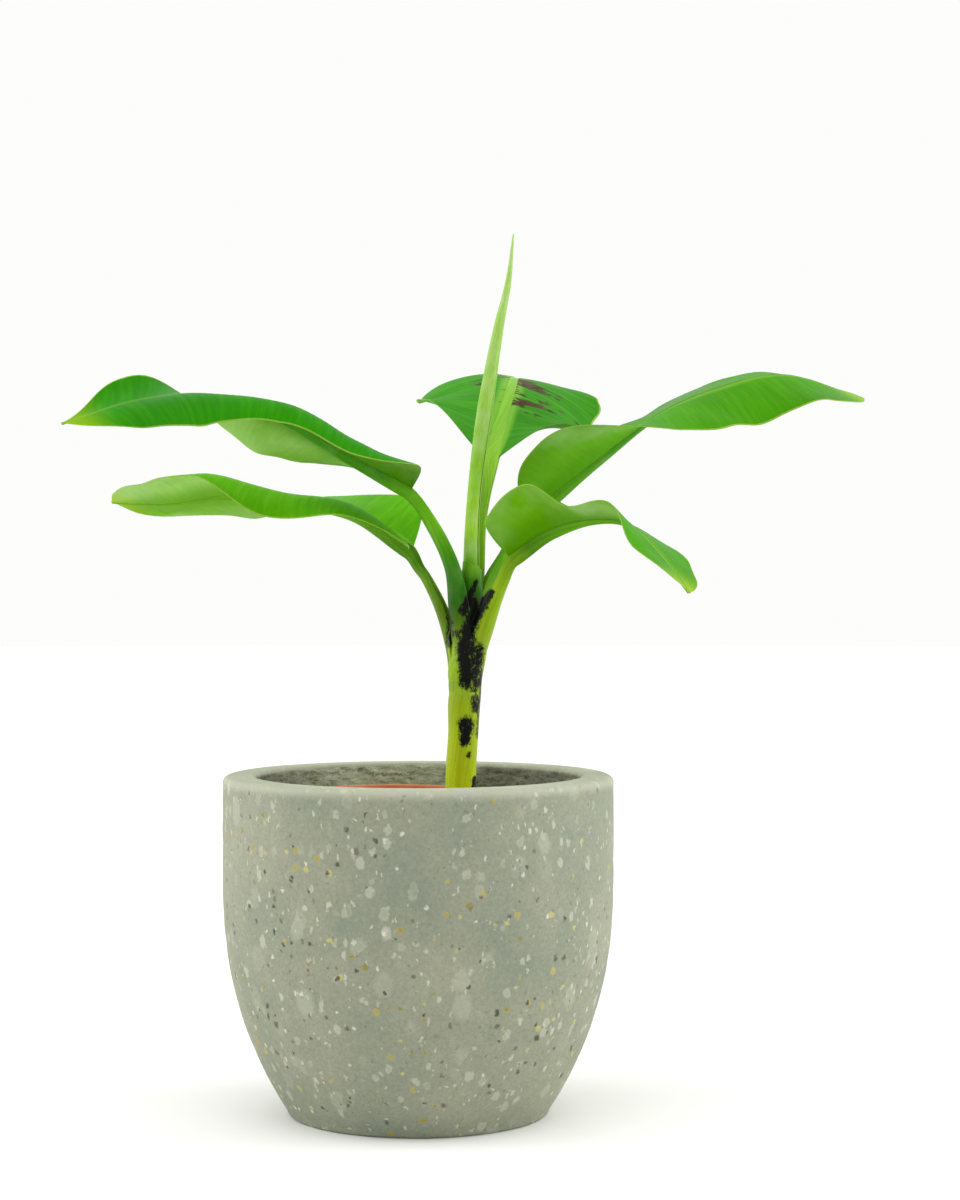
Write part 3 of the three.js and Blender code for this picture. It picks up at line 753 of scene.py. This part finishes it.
def midrib_ring(leaf, t):
    """Ring of the midrib in (side, up): a rounded keel below, a shallow groove between the blades."""
    half_width = rib_half_width(leaf, t)
    c = np.linspace(-1, 1, RING_HALF)
    out = np.abs(c) * half_width
    width_left, width_right = (
        np.maximum(half["width"] * outline(half, leaf["tip"], t), half_width + 0.8)
        for half in (leaf["left"], leaf["right"])
    )
    xl, yl, _ = half_surface(leaf["left"], out, width_left, t)
    xr, yr, _ = half_surface(leaf["right"], out, width_right, t)
    top_x = np.where(c > 0, xl, -xr)
    top_y = np.where(c > 0, yl, yr) - 0.22 * half_width * (1 - c * c)
    first = np.stack([top_x[..., :1], top_y[..., :1]], -1)
    last = np.stack([top_x[..., -1:], top_y[..., -1:]], -1)
    middle = (first + last) / 2
    s, k = np.sin(c * math.pi / 2), np.cos(c * math.pi / 2)
    keel = middle + s[..., None] * (last - first) / 2
    depth = 0.8 + half_width * (1.25 - 0.5 * smooth(t / 0.2))
    keel[..., 1] -= (depth + middle[..., 1]) * k
    top = np.stack([top_x, top_y], -1)
    return np.concatenate([keel, top[..., ::-1, :]], -2)


def sheaths_outside(name, z):
    """How many older sheaths still wrap round this one at height z."""
    count = 0
    for other in LEAVES:
        if other == name:
            return count
        count = count + smooth((leaves_stem_at(LEAVES[other]) - 10 - z) / SHEATH_EASE)


def sheath_and_stalk(name):
    """Rings of one leaf's sheath and stalk, from the soil to the blade, and their run from 0 to 1."""
    leaf = LEAVES[name]
    sheath_top = leaves_stem_at(leaf) - 20
    count = max(3, round((sheath_top - STEM_BOTTOM) / 20) + 1)
    heights = np.linspace(STEM_BOTTOM, sheath_top, count)
    x, r = stem_at(heights)
    r = r - SHEATH_THICKNESS * sheaths_outside(name, heights)
    rib_start, rib_way, _, up_start = rib_frame(leaf, np.array([0.0]))
    drop = STALK_DROP * leaf["stalk_radii"][-1]
    end = rib_start[0] - drop * up_start[0]
    centres = [(cx, 0, z) for cx, z in zip(x, heights)] + leaf["stalk"] + [end]
    cad_radii = list(r) + leaf["stalk_radii"]
    # Stations up the stem and then five along the stalk: how much wider than the solid, how far
    # round each side of the channel reaches (degrees), and the wall (mm).
    grow = [1] * count + [1.25, 1.08, 1, 1, 1]
    opening = list(np.linspace(168, 128, count)) + [92, 108, 118, 120, 112]
    wall = [SHEATH_THICKNESS] * count + [2.2, 2.6, 2.6, 2.6, 2.7]
    length = distances(centres)[-1]
    t = np.linspace(0, 1, int(length / RING_STEP))
    beyond = end + rib_way[0] * np.linalg.norm(end - np.array(leaf["stalk"][-1]))
    at = through(centres + [beyond], t * (len(centres) - 1) / len(centres))
    join = smooth(1 - (1 - t) * length / STALK_JOIN)[:, None]
    along = unit(np.gradient(at, axis=0))
    along = unit(along + (rib_way - along) * join)
    side, up = directions(along, np.full(len(t), float(leaf["azimuth"][0])))
    radius = through(cad_radii, t)[:, None]
    larger = radius * through(grow, t)[:, None]
    angle = np.radians(through(opening, t))[:, None]
    ring = channel_ring(larger, angle, through(wall, t)[:, None], larger - radius)
    first_keel = midrib_ring(leaf, np.zeros((1, 1))) + np.array([0, drop])
    ring = ring + (first_keel - ring) * join[:, :, None]
    free = (count - 1) / (len(centres) - 1)
    return placed(ring, at, side, up), np.interp(t, [0, free, 1], [0, 0.5, 1])


def midrib(leaf):
    """Rings of the midrib from the foot of the blade to its tip, and their run from 1 to 2."""
    t = np.linspace(0, 1, int(distances(leaf["rib"])[-1] / RING_STEP))[1:]
    at, _, side, up = rib_frame(leaf, t)
    return placed(midrib_ring(leaf, t[:, None]), at, side, up), 1 + smooth(t / 0.3)


def lofted(rings):
    """Points and faces of a closed surface through rings that run out and back."""
    rows, ring = rings.shape[:2]
    faces = rings_to_faces(rows, ring).tolist()
    for start, flip in ((0, True), ((rows - 1) * ring, False)):
        for j in range(ring // 2 - 1):
            quad = [start + j, start + j + 1, start + ring - 2 - j, start + ring - 1 - j]
            faces.append(quad[::-1] if flip else quad)
    return rings.reshape(-1, 3), faces


def pigment_at(points):
    """Dark pigment, over 0 to about 1, at points on the front of the stem."""
    x, y, z = points.T
    amount = np.zeros(len(points))
    for x1, z1, w1, x2, z2, w2, strength in PIGMENT:
        dx, dz = x2 - x1, z2 - z1
        f = np.clip(((x - x1) * dx + (z - z1) * dz) / (dx * dx + dz * dz), 0, 1)
        away = np.hypot(x - x1 - f * dx, z - z1 - f * dz)
        amount = np.maximum(amount, strength * smooth((2.5 - away / (w1 + f * (w2 - w1))) / 2.1))
    return amount * smooth((5 - y) / 8)


def stained(m, colour, pigment, place):
    """The colour with ragged, almost black pigment over it, and a few freckles round about."""
    spots = node(m, "Mapping", {0: place, "Scale": (1, 1, 0.6)})
    ragged = node(m, "TexNoise", {"Vector": spots, "Scale": waves(1.923), "Detail": 6, "Roughness": 0.9})
    stain = node(m, "MapRange", {0: ragged, 1: 0.38, 2: 0.62, 3: -0.5, 4: 0.5}, clamp=False)
    near = node(m, "MapRange", {0: pigment, 1: 0, 2: 0.3, 3: 0.3, 4: 1})
    stain = node(m, "Math", {0: stain, 1: near, 2: pigment}, operation="MULTIPLY_ADD")
    halo = node(m, "MapRange", {0: stain, 1: 0.05, 2: 0.55, 3: 0, 4: 0.75}, interpolation_type="SMOOTHSTEP")
    colour = node(m, "Mix", {0: halo, 6: colour, 7: linear("#33420a")}, data_type="RGBA").outputs[2]
    stain = node(m, "MapRange", {0: stain, 1: 0.4, 2: 0.7, 3: 0, 4: 1}, interpolation_type="SMOOTHSTEP")
    return node(m, "Mix", {0: stain, 6: colour, 7: linear("#050704")}, data_type="RGBA").outputs[2]


def stalk_skin(name, tones):
    """Fresh stalk tissue: smooth and satin, yellow-green with long fibres, waxy bloom and dark pigment."""
    m = new_material("stalk_skin_" + name)
    keys = ("run", "around", "along", "pigment")
    run, around, along, pigment = (node(m, "Attribute", attribute_name=key).outputs["Fac"] for key in keys)
    place = node(m, "TexCoord").outputs["Object"]
    half_run = node(m, "Math", {0: run, 1: 0.5}, operation="MULTIPLY")
    base = node(m, "ValToRGB", {0: half_run}, stops=tones)
    drawn_out = node(m, "Math", {0: along, 1: 0.03}, operation="MULTIPLY")
    thread = node(m, "CombineXYZ", {0: around, 1: drawn_out})
    fibre = node(m, "TexNoise", {"Vector": thread, "Scale": waves(1.43), "Detail": 4, "Roughness": 0.6})
    colour = mottled(m, base, fibre, 0.25, 0.75, 0.78, 1.24)
    bloom = node(m, "TexNoise", {"Vector": place, "Scale": waves(14.3), "Detail": 4})
    bloom = node(m, "MapRange", {0: bloom, 1: 0.5, 2: 0.75, 3: 0, 4: 0.12})
    colour = node(m, "Mix", {0: bloom, 6: colour, 7: linear("#a8c070")}, data_type="RGBA").outputs[2]
    freckle = node(m, "TexNoise", {"Vector": place, "Scale": waves(0.77), "Detail": 1})
    freckle = node(m, "MapRange", {0: freckle, 1: 0.7, 2: 0.76, 3: 0, 4: 0.45})
    early = node(m, "MapRange", {0: run, 1: 0.45, 2: 0.75, 3: 1, 4: 0})
    freckle = node(m, "Math", {0: freckle, 1: early}, operation="MULTIPLY")
    pigment = node(m, "Math", {0: pigment, 1: freckle}, operation="ADD")
    colour = stained(m, colour, pigment, place)
    bump = node(m, "Bump", {"Height": fibre, "Strength": 0.25, "Distance": 0.2 * MM})
    rough = node(m, "MapRange", {0: fibre, 3: 0.34, 4: 0.5})
    shader = node(m, "BsdfPrincipled", {
        "Base Color": colour, "Roughness": rough, "Normal": bump, "IOR": 1.42, "Specular IOR Level": 0.15,
    })
    node(m, "OutputMaterial", {"Surface": shader})
    return m


# Colours along each one: 0 at the stem's foot, 0.25 where the stalk leaves the stem, 0.5 at the blade.
STALK_TONES = {
    "front_right": [
        (0, "#c8de18"), (0.235, "#98b010"), (0.35, "#86a60a"), (0.43, "#88aa0c"),
        (0.5, "#689406"), (0.6, "#4c8200"), (1, "#5a9a0a"),
    ],
    "lower_left": [
        (0, "#a8c01e"), (0.235, "#90b018"), (0.3, "#6c8c0c"), (0.35, "#5c7e08"),
        (0.4, "#5e9004"), (0.46, "#487c00"), (0.6, "#548c04"), (1, "#66a410"),
    ],
    # The upper_left stalk's very dark green just above the stem (0.33 to 0.4) is painted shade in the fork.
    "upper_left": [
        (0, "#b4ca16"), (0.285, "#8cae14"), (0.33, "#486c00"), (0.36, "#1e5e00"),
        (0.4, "#2c7400"), (0.45, "#60a40c"), (0.6, "#3a8200"), (1, "#3a8200"),
    ],
    "upper_right": [
        (0, "#98ae1c"), (0.235, "#88aa18"), (0.3, "#6c9c0c"), (0.36, "#508c02"), (0.42, "#5a9804"),
        (1, "#448a06"),
    ],
    "back": [(0, "#98aa1e"), (0.235, "#8cac1c"), (0.31, "#7aa81c"), (0.42, "#7cae24"), (1, "#78b02e")],
}


def stalk_piece(name):
    """One leaf's sheath, stalk and midrib as a single closed mesh."""
    stalk_rings, stalk_run = sheath_and_stalk(name)
    rib_rings, rib_run = midrib(LEAVES[name])
    rings = np.concatenate([stalk_rings, rib_rings])
    run = np.concatenate([stalk_run, rib_run])
    ring = rings.shape[1]
    points, faces = lofted(rings)
    around = np.array([distances(one) for one in rings])
    along = distances(rings[:, : ring // 2].mean(1))
    values = {
        "run": np.repeat(run, ring),
        "around": around * MM,
        "along": np.repeat(along, ring) * MM,
        "pigment": pigment_at(points),
    }
    return piece("stalk_" + name, points, faces, [stalk_skin(name, STALK_TONES[name])], values)


for name in LEAVES:
    stalk = stalk_piece(name)
    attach(stalk, "root")
    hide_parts("petiole_" + name)

# Stem core
# The youngest leaves' wrapped bases: a solid green rod inside the older sheaths. It shows only
# between the stalks at the top of the stem, as the collar that the rolled leaf stands in.
COLLAR_TOP = 308
# The collar darkens from its top down into the fork between the stalks: painted shade.
CORE_TONES = [(0, "#6a9410"), (0.78, "#2c5400"), (0.87, "#1a5000"), (0.94, "#2f6c00"), (1, "#5e9a04")]

z = np.concatenate([np.linspace(STEM_BOTTOM, 300, 118), np.linspace(301, COLLAR_TOP, 12)])
core_x, core_r = stem_at(z)
sheaths = sum(smooth((leaves_stem_at(leaf) + 6 - z) / SHEATH_EASE) for leaf in LEAVES.values())
core_r = np.maximum(1.2, core_r - SHEATH_THICKNESS * sheaths)
# It swells where the stalks leave it, and draws in to a collar with a slanting, wavy edge.
core_r = np.minimum(core_r, 3.6 + 3.8 * smooth((z - 262) / 16)) - 1.9 * smooth((z - 292) / 16)
core_x = core_x + 1.2 * smooth((z - 262) / 30)
angle = np.linspace(0, 2 * math.pi, 40, endpoint=False)
slant = smooth((z - 290) / 16)[:, None] * (3.0 * np.cos(angle + 2.6) + 0.5 * np.sin(5 * angle))
rings = np.stack([
    core_x[:, None] + core_r[:, None] * np.cos(angle),
    core_r[:, None] * np.sin(angle) - 0.8,
    z[:, None] + slant,
], -1)
points, faces = lofted(rings)
values = {
    "run": 2 * (points[:, 2] - STEM_BOTTOM) / (COLLAR_TOP - STEM_BOTTOM),
    "around": np.tile(angle * 4 * MM, len(z)),
    "along": np.repeat((z - z[0]) * MM, len(angle)),
    "pigment": pigment_at(points),
}
core = piece("stem_core", points, faces, [stalk_skin("core", CORE_TONES)], values)
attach(core, "root")
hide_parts("pseudostem")

# Leaf blades
# Thin, satin green blades, one half on each side of the midrib, pleated very finely along the
# parallel side veins. The underside is paler and has a waxy bloom.
# Beside the midrib and at the margin.
BLADE_THICKNESS = (0.825, 0.33)
BLADE_COLUMNS = 26
STATION_STEP = 0.8
# The real side veins stand closer; the pleats are drawn as wide as they need to be to show.
VEIN_PERIOD = 3.6
VEIN_HEIGHT = 0.05
VEIN_SLANT = 0.14
RIB_OVERLAP = 0.12
MARGIN_WAVE = 0.9
# The flecks on the back leaf lie round one place along it.
FLECKS_AT = 80
FLECKS_REACH = 55
# Dark, middle and light green of the upper side and its green near the midrib, then the underside
# of the left and right halves, which differ as painted light and shade (the lit half paler, the other
# darker), and the underside's darker green near the midrib, painted shade by the keel.
BLADE_TONES = {
    "front_right": ("#378200", "#418b02", "#4e930c", "#64a01c", "#6aa814", "#66a40c", "#4c8c02"),
    "lower_left": ("#469800", "#56a40a", "#6cb022", "#84b83c", "#93c65c", "#68a808", "#5f9c10"),
    "upper_left": ("#1f7600", "#278000", "#3b9008", "#62a424", "#4c8410", "#72a83a", "#447f04"),
    "upper_right": ("#378000", "#418b02", "#4f950e", "#68a224", "#5c9c18", "#64a41a", "#4a8e00"),
    "back": ("#2c7816", "#3a861c", "#549c30", "#78b03a", "#4e942a", "#4e942a", "#418418"),
}


def blade_skin(name, on_top):
    """One face of a blade: satin, finely veined, with another green by the midrib and a pale margin; on the
    underside the midrib's green is painted shade, and the two halves differ as painted light and shade.
    """
    dark, middle, light, near_rib, left, right, keel_shade = BLADE_TONES[name]
    m = new_material(("blade_top_" if on_top else "blade_under_") + name)
    keys = ("along", "across", "tip")
    along, across, tip = (node(m, "Attribute", attribute_name=key).outputs["Fac"] for key in keys)
    place = node(m, "TexCoord").outputs["Object"]
    drawn_out = node(m, "Math", {0: across, 1: 0.003}, operation="MULTIPLY")
    lane = node(m, "CombineXYZ", {0: along, 1: drawn_out})
    veins = node(m, "TexNoise", {"Vector": lane, "Scale": waves(3.03), "Detail": 3, "Roughness": 0.6})
    if on_top:
        colour = node(m, "ValToRGB", {0: veins}, stops=[(0.18, dark), (0.5, middle), (0.88, light)])
    else:
        half = node(m, "Attribute", attribute_name="left_half").outputs["Fac"]
        # The two halves' undersides take different greens: painted light on one, painted shade on the
        # other.
        colour = node(m, "Mix", {0: half, 6: linear(right), 7: linear(left)}, data_type="RGBA").outputs[2]
        colour = mottled(m, colour, veins, 0.3, 0.7, 0.93, 1.07)
    cloud = node(m, "TexNoise", {"Vector": place, "Scale": waves(45.5), "Detail": 3})
    colour = mottled(m, colour, cloud, 0.3, 0.7, 0.86, 1.14)
    # By the midrib the upper side takes its own lighter green, and the underside a darker green, painted
    # shade by the keel.
    ends = {1: 0.02, 2: 0.12 if on_top else 0.5, 3: 0.85, 4: 0}
    foot = node(m, "MapRange", {0: across, **ends}, interpolation_type="SMOOTHSTEP")
    rib_tint_and_keel_shade = linear(near_rib if on_top else keel_shade)
    colour = node(m, "Mix", {0: foot, 6: colour, 7: rib_tint_and_keel_shade}, data_type="RGBA").outputs[2]
    if not on_top:
        bloom = node(m, "TexNoise", {"Vector": place, "Scale": waves(38.5), "Detail": 4})
        bloom = node(m, "MapRange", {0: bloom, 1: 0.42, 2: 0.68, 3: 0, 4: 0.5})
        outer = node(m, "MapRange", {0: across, 1: 0.1, 2: 0.6, 3: 0.15, 4: 1})
        bloom = node(m, "Math", {0: bloom, 1: outer}, operation="MULTIPLY")
        colour = node(m, "Mix", {0: bloom, 6: colour, 7: linear("#a8cd80")}, data_type="RGBA").outputs[2]
    if on_top and name == "back":
        colour = with_flecks(m, colour, along, across, place)
    colour = node(m, "Mix", {0: tip, 6: colour, 7: linear("#8fb414")}, data_type="RGBA").outputs[2]
    edge = node(m, "MapRange", {0: across, 1: 0.97, 2: 0.99, 3: 0, 4: 0.6}, interpolation_type="SMOOTHSTEP")
    colour = node(m, "Mix", {0: edge, 6: colour, 7: linear("#a9c653")}, data_type="RGBA").outputs[2]
    fine = node(m, "TexNoise", {"Vector": lane, "Scale": waves(1.11), "Detail": 2})
    bump = node(m, "Bump", {"Height": fine, "Strength": 0.2, "Distance": 0.2 * MM})
    shiny, dull = (0.34, 0.5) if on_top else (0.5, 0.65)
    rough = node(m, "MapRange", {0: cloud, 1: 0.3, 2: 0.7, 3: shiny, 4: dull})
    shader = node(m, "BsdfPrincipled", {
        "Base Color": colour, "Roughness": rough, "Normal": bump, "IOR": 1.42, "Specular IOR Level": 0.03,
    })
    node(m, "OutputMaterial", {"Surface": shader})
    return m


def with_flecks(m, colour, along, across, place):
    """Red-brown flecks that run with the side veins, thickest beside the midrib on the right half."""
    half = node(m, "Attribute", attribute_name="left_half").outputs["Fac"]
    drawn_out = node(m, "Math", {0: across, 1: 0.016}, operation="MULTIPLY")
    spot = node(m, "CombineXYZ", {0: along, 1: drawn_out})
    fleck = node(m, "TexNoise", {"Vector": spot, "Scale": waves(5.26), "Detail": 4, "Roughness": 0.6})
    away = node(m, "Math", {0: along, 1: FLECKS_AT * MM}, operation="SUBTRACT")
    away = node(m, "Math", {0: away}, operation="ABSOLUTE")
    patch = node(m, "TexNoise", {"Vector": place, "Scale": waves(16.67), "Detail": 1})
    patch = node(m, "MapRange", {0: patch, 1: 0.4, 2: 0.6, 3: -0.1, 4: 0.03})
    zone = node(m, "MapRange", {0: away, 1: 12 * MM, 2: FLECKS_REACH * MM, 3: 0.15, 4: -0.1})
    zone = node(m, "Math", {0: zone, 1: patch}, operation="ADD")
    inner = node(m, "MapRange", {0: across, 1: 0.3, 2: 0.65, 3: 0, 4: -0.16})
    side = node(m, "Math", {0: half, 1: -0.09, 2: inner}, operation="MULTIPLY_ADD")
    zone = node(m, "Math", {0: zone, 1: side}, operation="ADD")
    fleck = node(m, "Math", {0: fleck, 1: zone}, operation="ADD")
    fleck = node(m, "MapRange", {0: fleck, 1: 0.58, 2: 0.64, 4: 0.92}, interpolation_type="SMOOTHSTEP")
    shade = node(m, "TexNoise", {"Vector": place, "Scale": waves(8.33), "Detail": 2})
    tint = node(m, "ValToRGB", {0: shade}, stops=[(0.35, "#331d18"), (0.65, "#57403a")])
    return node(m, "Mix", {0: fleck, 6: colour, 7: tint}, data_type="RGBA").outputs[2]


def blade_half(leaf, half, sign, seed):
    """Rings of one thin half-blade from the midrib to the margin, and along, across and tip on them."""
    rib_length = distances(leaf["rib"])[-1]
    base = half["base"]
    # Stations crowd together at the base, where the blade widens fast.
    opening = np.linspace(0, math.pi / 2, 20 + int(1.6 * base * rib_length / STATION_STEP))[:-1]
    steady = np.linspace(base, 1, int((1 - base) * rib_length / STATION_STEP))
    stations = np.concatenate([base * (1 - np.cos(opening)), steady])
    at, way, side, up = rib_frame(leaf, stations)
    t, q = np.meshgrid(stations, np.linspace(0, 1, BLADE_COLUMNS), indexing="ij")
    length = t * rib_length
    rib_half = rib_half_width(leaf, t)
    full = half["width"] * (1 + 0.015 * drift(seed, 34, length)) * outline(half, leaf["tip"], t)
    width = np.maximum(full, rib_half + 0.8)
    inner = (1 - RIB_OVERLAP) * rib_half
    out = inner + (width - inner) * q
    across, rise, slope = half_surface(half, out, width, t)
    # The side veins press the blade into fine pleats, and its margin waves a little.
    veins = np.sin(2 * math.pi * length / VEIN_PERIOD + 1.5 * drift(seed + 1, 20, length, q * 30))
    bend = VEIN_HEIGHT * veins * smooth(q / 0.2) * (1 - 0.4 * q)
    bend = bend + MARGIN_WAVE * q**2 * drift(seed + 2, 42, length, out)
    bend = bend * smooth(np.minimum(t, 1 - t) / 0.06)
    lean = through(half["sweep"], t) * np.maximum(0, out - rib_half)
    normal = placed(np.stack([-sign * np.sin(slope), np.cos(slope)], -1), 0 * at, side, up)
    top = placed(np.stack([sign * across, rise], -1), at, side, up)
    top = top + lean[..., None] * way[:, None] + bend[..., None] * normal
    thick = np.interp(q, (0, 1), BLADE_THICKNESS)
    rings = np.concatenate([top, (top - thick[..., None] * normal)[:, ::-1]], 1)
    # The last seventh of the blade yellows towards its tip.
    yellowing = 0.8 * smooth((t - 0.86) / 0.14)
    values = ((length + VEIN_SLANT * out) * MM, q, yellowing)
    return rings, [np.concatenate([v, v[:, ::-1]], 1).ravel() for v in values]


def leaf_piece(name, number):
    """Both halves of one leaf's blade, with another skin on the underside."""
    leaf = LEAVES[name]
    points, faces, values, index = [], [], [], []
    count = 0
    for half, sign in ((leaf["left"], 1), (leaf["right"], -1)):
        rings, half_values = blade_half(leaf, half, sign, 40 + 10 * number + sign)
        half_points, half_faces = lofted(rings)
        column = np.tile(np.arange(2 * BLADE_COLUMNS), len(rings) - 1)
        under_side = (column >= BLADE_COLUMNS).astype(int)
        index.append(np.pad(under_side, (0, len(half_faces) - len(under_side))))
        order = 1 if sign > 0 else -1
        faces += [[v + count for v in face[::order]] for face in half_faces]
        points.append(half_points)
        values.append(half_values + [np.full(len(half_points), float(sign > 0))])
        count += len(half_points)
    joined = [np.concatenate(pair) for pair in zip(*values)]
    values = dict(zip(("along", "across", "tip", "left_half"), joined))
    skins = [blade_skin(name, True), blade_skin(name, False)]
    return piece("blade_" + name, np.vstack(points), faces, skins, values, np.concatenate(index))


for number, name in enumerate(LEAVES):
    leaf_blade = leaf_piece(name, number)
    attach(leaf_blade, "root")
    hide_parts("leaf_" + name)

# Rolled leaf
# The youngest leaf, still furled: one blade rolled on itself into a slim spear, its outer margin
# running up it as a fine spiral line. It is paler than the open leaves.
ROLLED_LINE = [
    (27.8, 0, 258), (28.2, 0, 281), (29.4, 0, 304.5), (30.0, 0, 329), (31.6, 0, 352), (34.4, 0, 376),
    (37.8, 0, 399), (41.6, 0, 422), (45.6, 0, 444), (50.7, 0, 468), (53.6, 0, 495),
]
ROLLED_RADII = [4.6, 5.2, 4.9, 4.3, 4.1, 4.5, 4.7, 4.0, 3.2, 2.0, 0.5]
# The outer margin starts at one angle and winds up the leaf (radians), and each turn inwards is
# tighter than the one outside it.
ROLLED_TURNS = 1.8
ROLLED_START = -1.9
ROLLED_TWIST = 1.1
ROLLED_TIGHTER = 0.34
ROLLED_SHEET = 0.42
ROLLED_TONES = [
    (0.17, "#3f7c04"), (0.24, "#6fa808"), (0.3, "#98ca28"), (0.45, "#84bc1c"), (0.6, "#8ebd40"),
    (1, "#a0c268"),
]


def furled_skin():
    """The furled leaf: soft, pale yellow-green, whitening to the tip, with long fine veins and bloom."""
    m = new_material("furled_blade")
    keys = ("along", "around", "pigment")
    along, around, pigment = (node(m, "Attribute", attribute_name=key).outputs["Fac"] for key in keys)
    place = node(m, "TexCoord").outputs["Object"]
    share = node(m, "Math", {0: along, 1: 4.2}, operation="MULTIPLY")
    base = node(m, "ValToRGB", {0: share}, stops=ROLLED_TONES)
    drawn_out = node(m, "Math", {0: along, 1: 0.12}, operation="MULTIPLY")
    lane = node(m, "CombineXYZ", {0: around, 1: drawn_out})
    veins = node(m, "TexNoise", {"Vector": lane, "Scale": waves(1.11), "Detail": 4, "Roughness": 0.65})
    colour = mottled(m, base, veins, 0.28, 0.72, 0.84, 1.16)
    bloom = node(m, "TexNoise", {"Vector": place, "Scale": waves(11.1), "Detail": 3})
    bloom = node(m, "MapRange", {0: bloom, 1: 0.4, 2: 0.7, 3: 0.05, 4: 0.3})
    colour = node(m, "Mix", {0: bloom, 6: colour, 7: linear("#c6dba6")}, data_type="RGBA").outputs[2]
    seam = node(m, "MapRange", {0: around, 1: 0.6 * MM, 2: MM, 3: 0.6, 4: 0})
    colour = node(m, "Mix", {0: seam, 6: colour, 7: linear("#bede78")}, data_type="RGBA").outputs[2]
    colour = stained(m, colour, pigment, place)
    bump = node(m, "Bump", {"Height": veins, "Strength": 0.3, "Distance": 0.2 * MM})
    rough = node(m, "MapRange", {0: veins, 3: 0.42, 4: 0.58})
    shader = node(m, "BsdfPrincipled", {
        "Base Color": colour, "Roughness": rough, "Normal": bump, "IOR": 1.42, "Specular IOR Level": 0.15,
    })
    node(m, "OutputMaterial", {"Surface": shader})
    return m


t = np.linspace(0, 1, 230)
at = through(ROLLED_LINE, t)
along_way = unit(np.gradient(at, axis=0))
side, up = directions(along_way, np.zeros(len(t)))
radius = through(ROLLED_RADII, t)
wind = np.linspace(0, 1, 110)
spiral = ROLLED_START + ROLLED_TWIST * t[:, None] + wind[None, :] * 2 * math.pi * ROLLED_TURNS
reach_out = radius[:, None] * (1 - ROLLED_TIGHTER * wind[None, :])
sheet = np.minimum(ROLLED_SHEET, radius[:, None] * 0.16)


def coil(r):
    """The rolled blade's outer or inner face at distance r from the roll's middle."""
    return placed(np.stack([r * np.cos(spiral), r * np.sin(spiral)], -1), at, side, up)


rings = np.concatenate([coil(reach_out), coil(reach_out - sheet)[:, ::-1]], 1)
points, faces = lofted(rings)
around = np.tile(wind * 2 * math.pi * ROLLED_TURNS * 4, (len(t), 1))
values = {
    "along": np.repeat(distances(at), rings.shape[1]) * MM,
    "around": np.concatenate([around, around[:, ::-1]], 1) * MM,
    "pigment": pigment_at(points),
}
furled = piece("furled_leaf", points, faces, [furled_skin()], values)
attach(furled, "root")
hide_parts("rolled_leaf")

# Studio
# A plain pale floor under a bright, even room, with a soft box on each side, one above, and the
# camera at the height of the stalks looking very slightly down.
CAMERA_PLACE = (0.0347, -1.490, 0.307)
CAMERA_TILT = 90 - 0.694
CAMERA_LENS = 79.26
CAMERA_SENSOR = 36
FLOOR_RADIUS = 9
LIGHTS_AIM = (0, 0, 0.25)
# Each soft box: its place and size in metres, and its power in watts.
LIGHTS = [
    ("left_box", (-1.3, 0.1, 0.7), 1.1, 9),
    ("right_box", (1.3, 0.1, 0.7), 1.1, 10),
    ("top_box", (0.0, -0.4, 1.6), 1.2, 7),
]


def floor_paint():
    """Matt white paint with hardly any variation, which a distant backdrop light brightens further out."""
    m = new_material("floor_paint")
    place = node(m, "TexCoord").outputs["Object"]
    cloud = node(m, "TexNoise", {"Vector": place, "Scale": waves(667), "Detail": 2})
    colour = node(m, "ValToRGB", {0: cloud}, stops=[(0.3, "#f4f4f2"), (0.7, "#f8f8f6")])
    away = node(m, "VectorMath", {0: place}, operation="LENGTH").outputs["Value"]
    far = node(m, "MapRange", {0: away, 1: 0.35, 2: 1.4, 3: 0, 4: 0.2}, interpolation_type="SMOOTHSTEP")
    shader = node(m, "BsdfPrincipled", {
        "Base Color": colour, "Roughness": 0.9, "Emission Color": (1, 1, 1, 1), "Emission Strength": far,
    })
    node(m, "OutputMaterial", {"Surface": shader})
    return m


ring = np.linspace(0, 2 * math.pi, 64, endpoint=False)
floor_points = FLOOR_RADIUS * np.stack([np.cos(ring), np.sin(ring), 0 * ring], -1)
floor_mesh = bpy.data.meshes.new("floor")
floor_mesh.from_pydata(floor_points.tolist(), [], [list(range(64))])
floor_mesh.materials.append(floor_paint())
floor = bpy.data.objects.new("floor", floor_mesh)
bpy.context.scene.collection.objects.link(floor)

for name, place, size, power in LIGHTS:
    light = bpy.data.lights.new(name, "AREA")
    light.size = size
    light.energy = power
    lamp = bpy.data.objects.new(name, light)
    lamp.location = place
    aim = np.array(LIGHTS_AIM) - np.array(place)
    lamp.rotation_euler = (math.acos(-aim[2] / np.linalg.norm(aim)), 0, math.atan2(-aim[0], aim[1]))
    bpy.context.scene.collection.objects.link(lamp)

# The room is brightest above and behind the plant, where a white backdrop would hang.
world = bpy.data.worlds.new("room")
world.use_nodes = True
way = node(world, "SeparateXYZ", {0: node(world, "TexCoord").outputs["Generated"]})
high = node(world, "Math", {0: way.outputs["Y"], 1: way.outputs["Z"]}, operation="ADD")
glow = node(world, "MapRange", {0: high, 1: -0.5, 2: 0.6, 3: 0.62, 4: 1})
sky = world.node_tree.nodes["Background"]
sky.inputs["Color"].default_value = linear("#fdfdfc")
world.node_tree.links.new(glow.outputs[0], sky.inputs["Strength"])
bpy.context.scene.world = world
bpy.context.scene.view_settings.view_transform = "Standard"

lens = bpy.data.cameras.new("camera")
lens.lens = CAMERA_LENS
lens.sensor_width = CAMERA_SENSOR
camera = bpy.data.objects.new("camera", lens)
camera.location = CAMERA_PLACE
camera.rotation_euler = (math.radians(CAMERA_TILT), 0, 0)
bpy.context.scene.collection.objects.link(camera)
bpy.context.scene.camera = camera
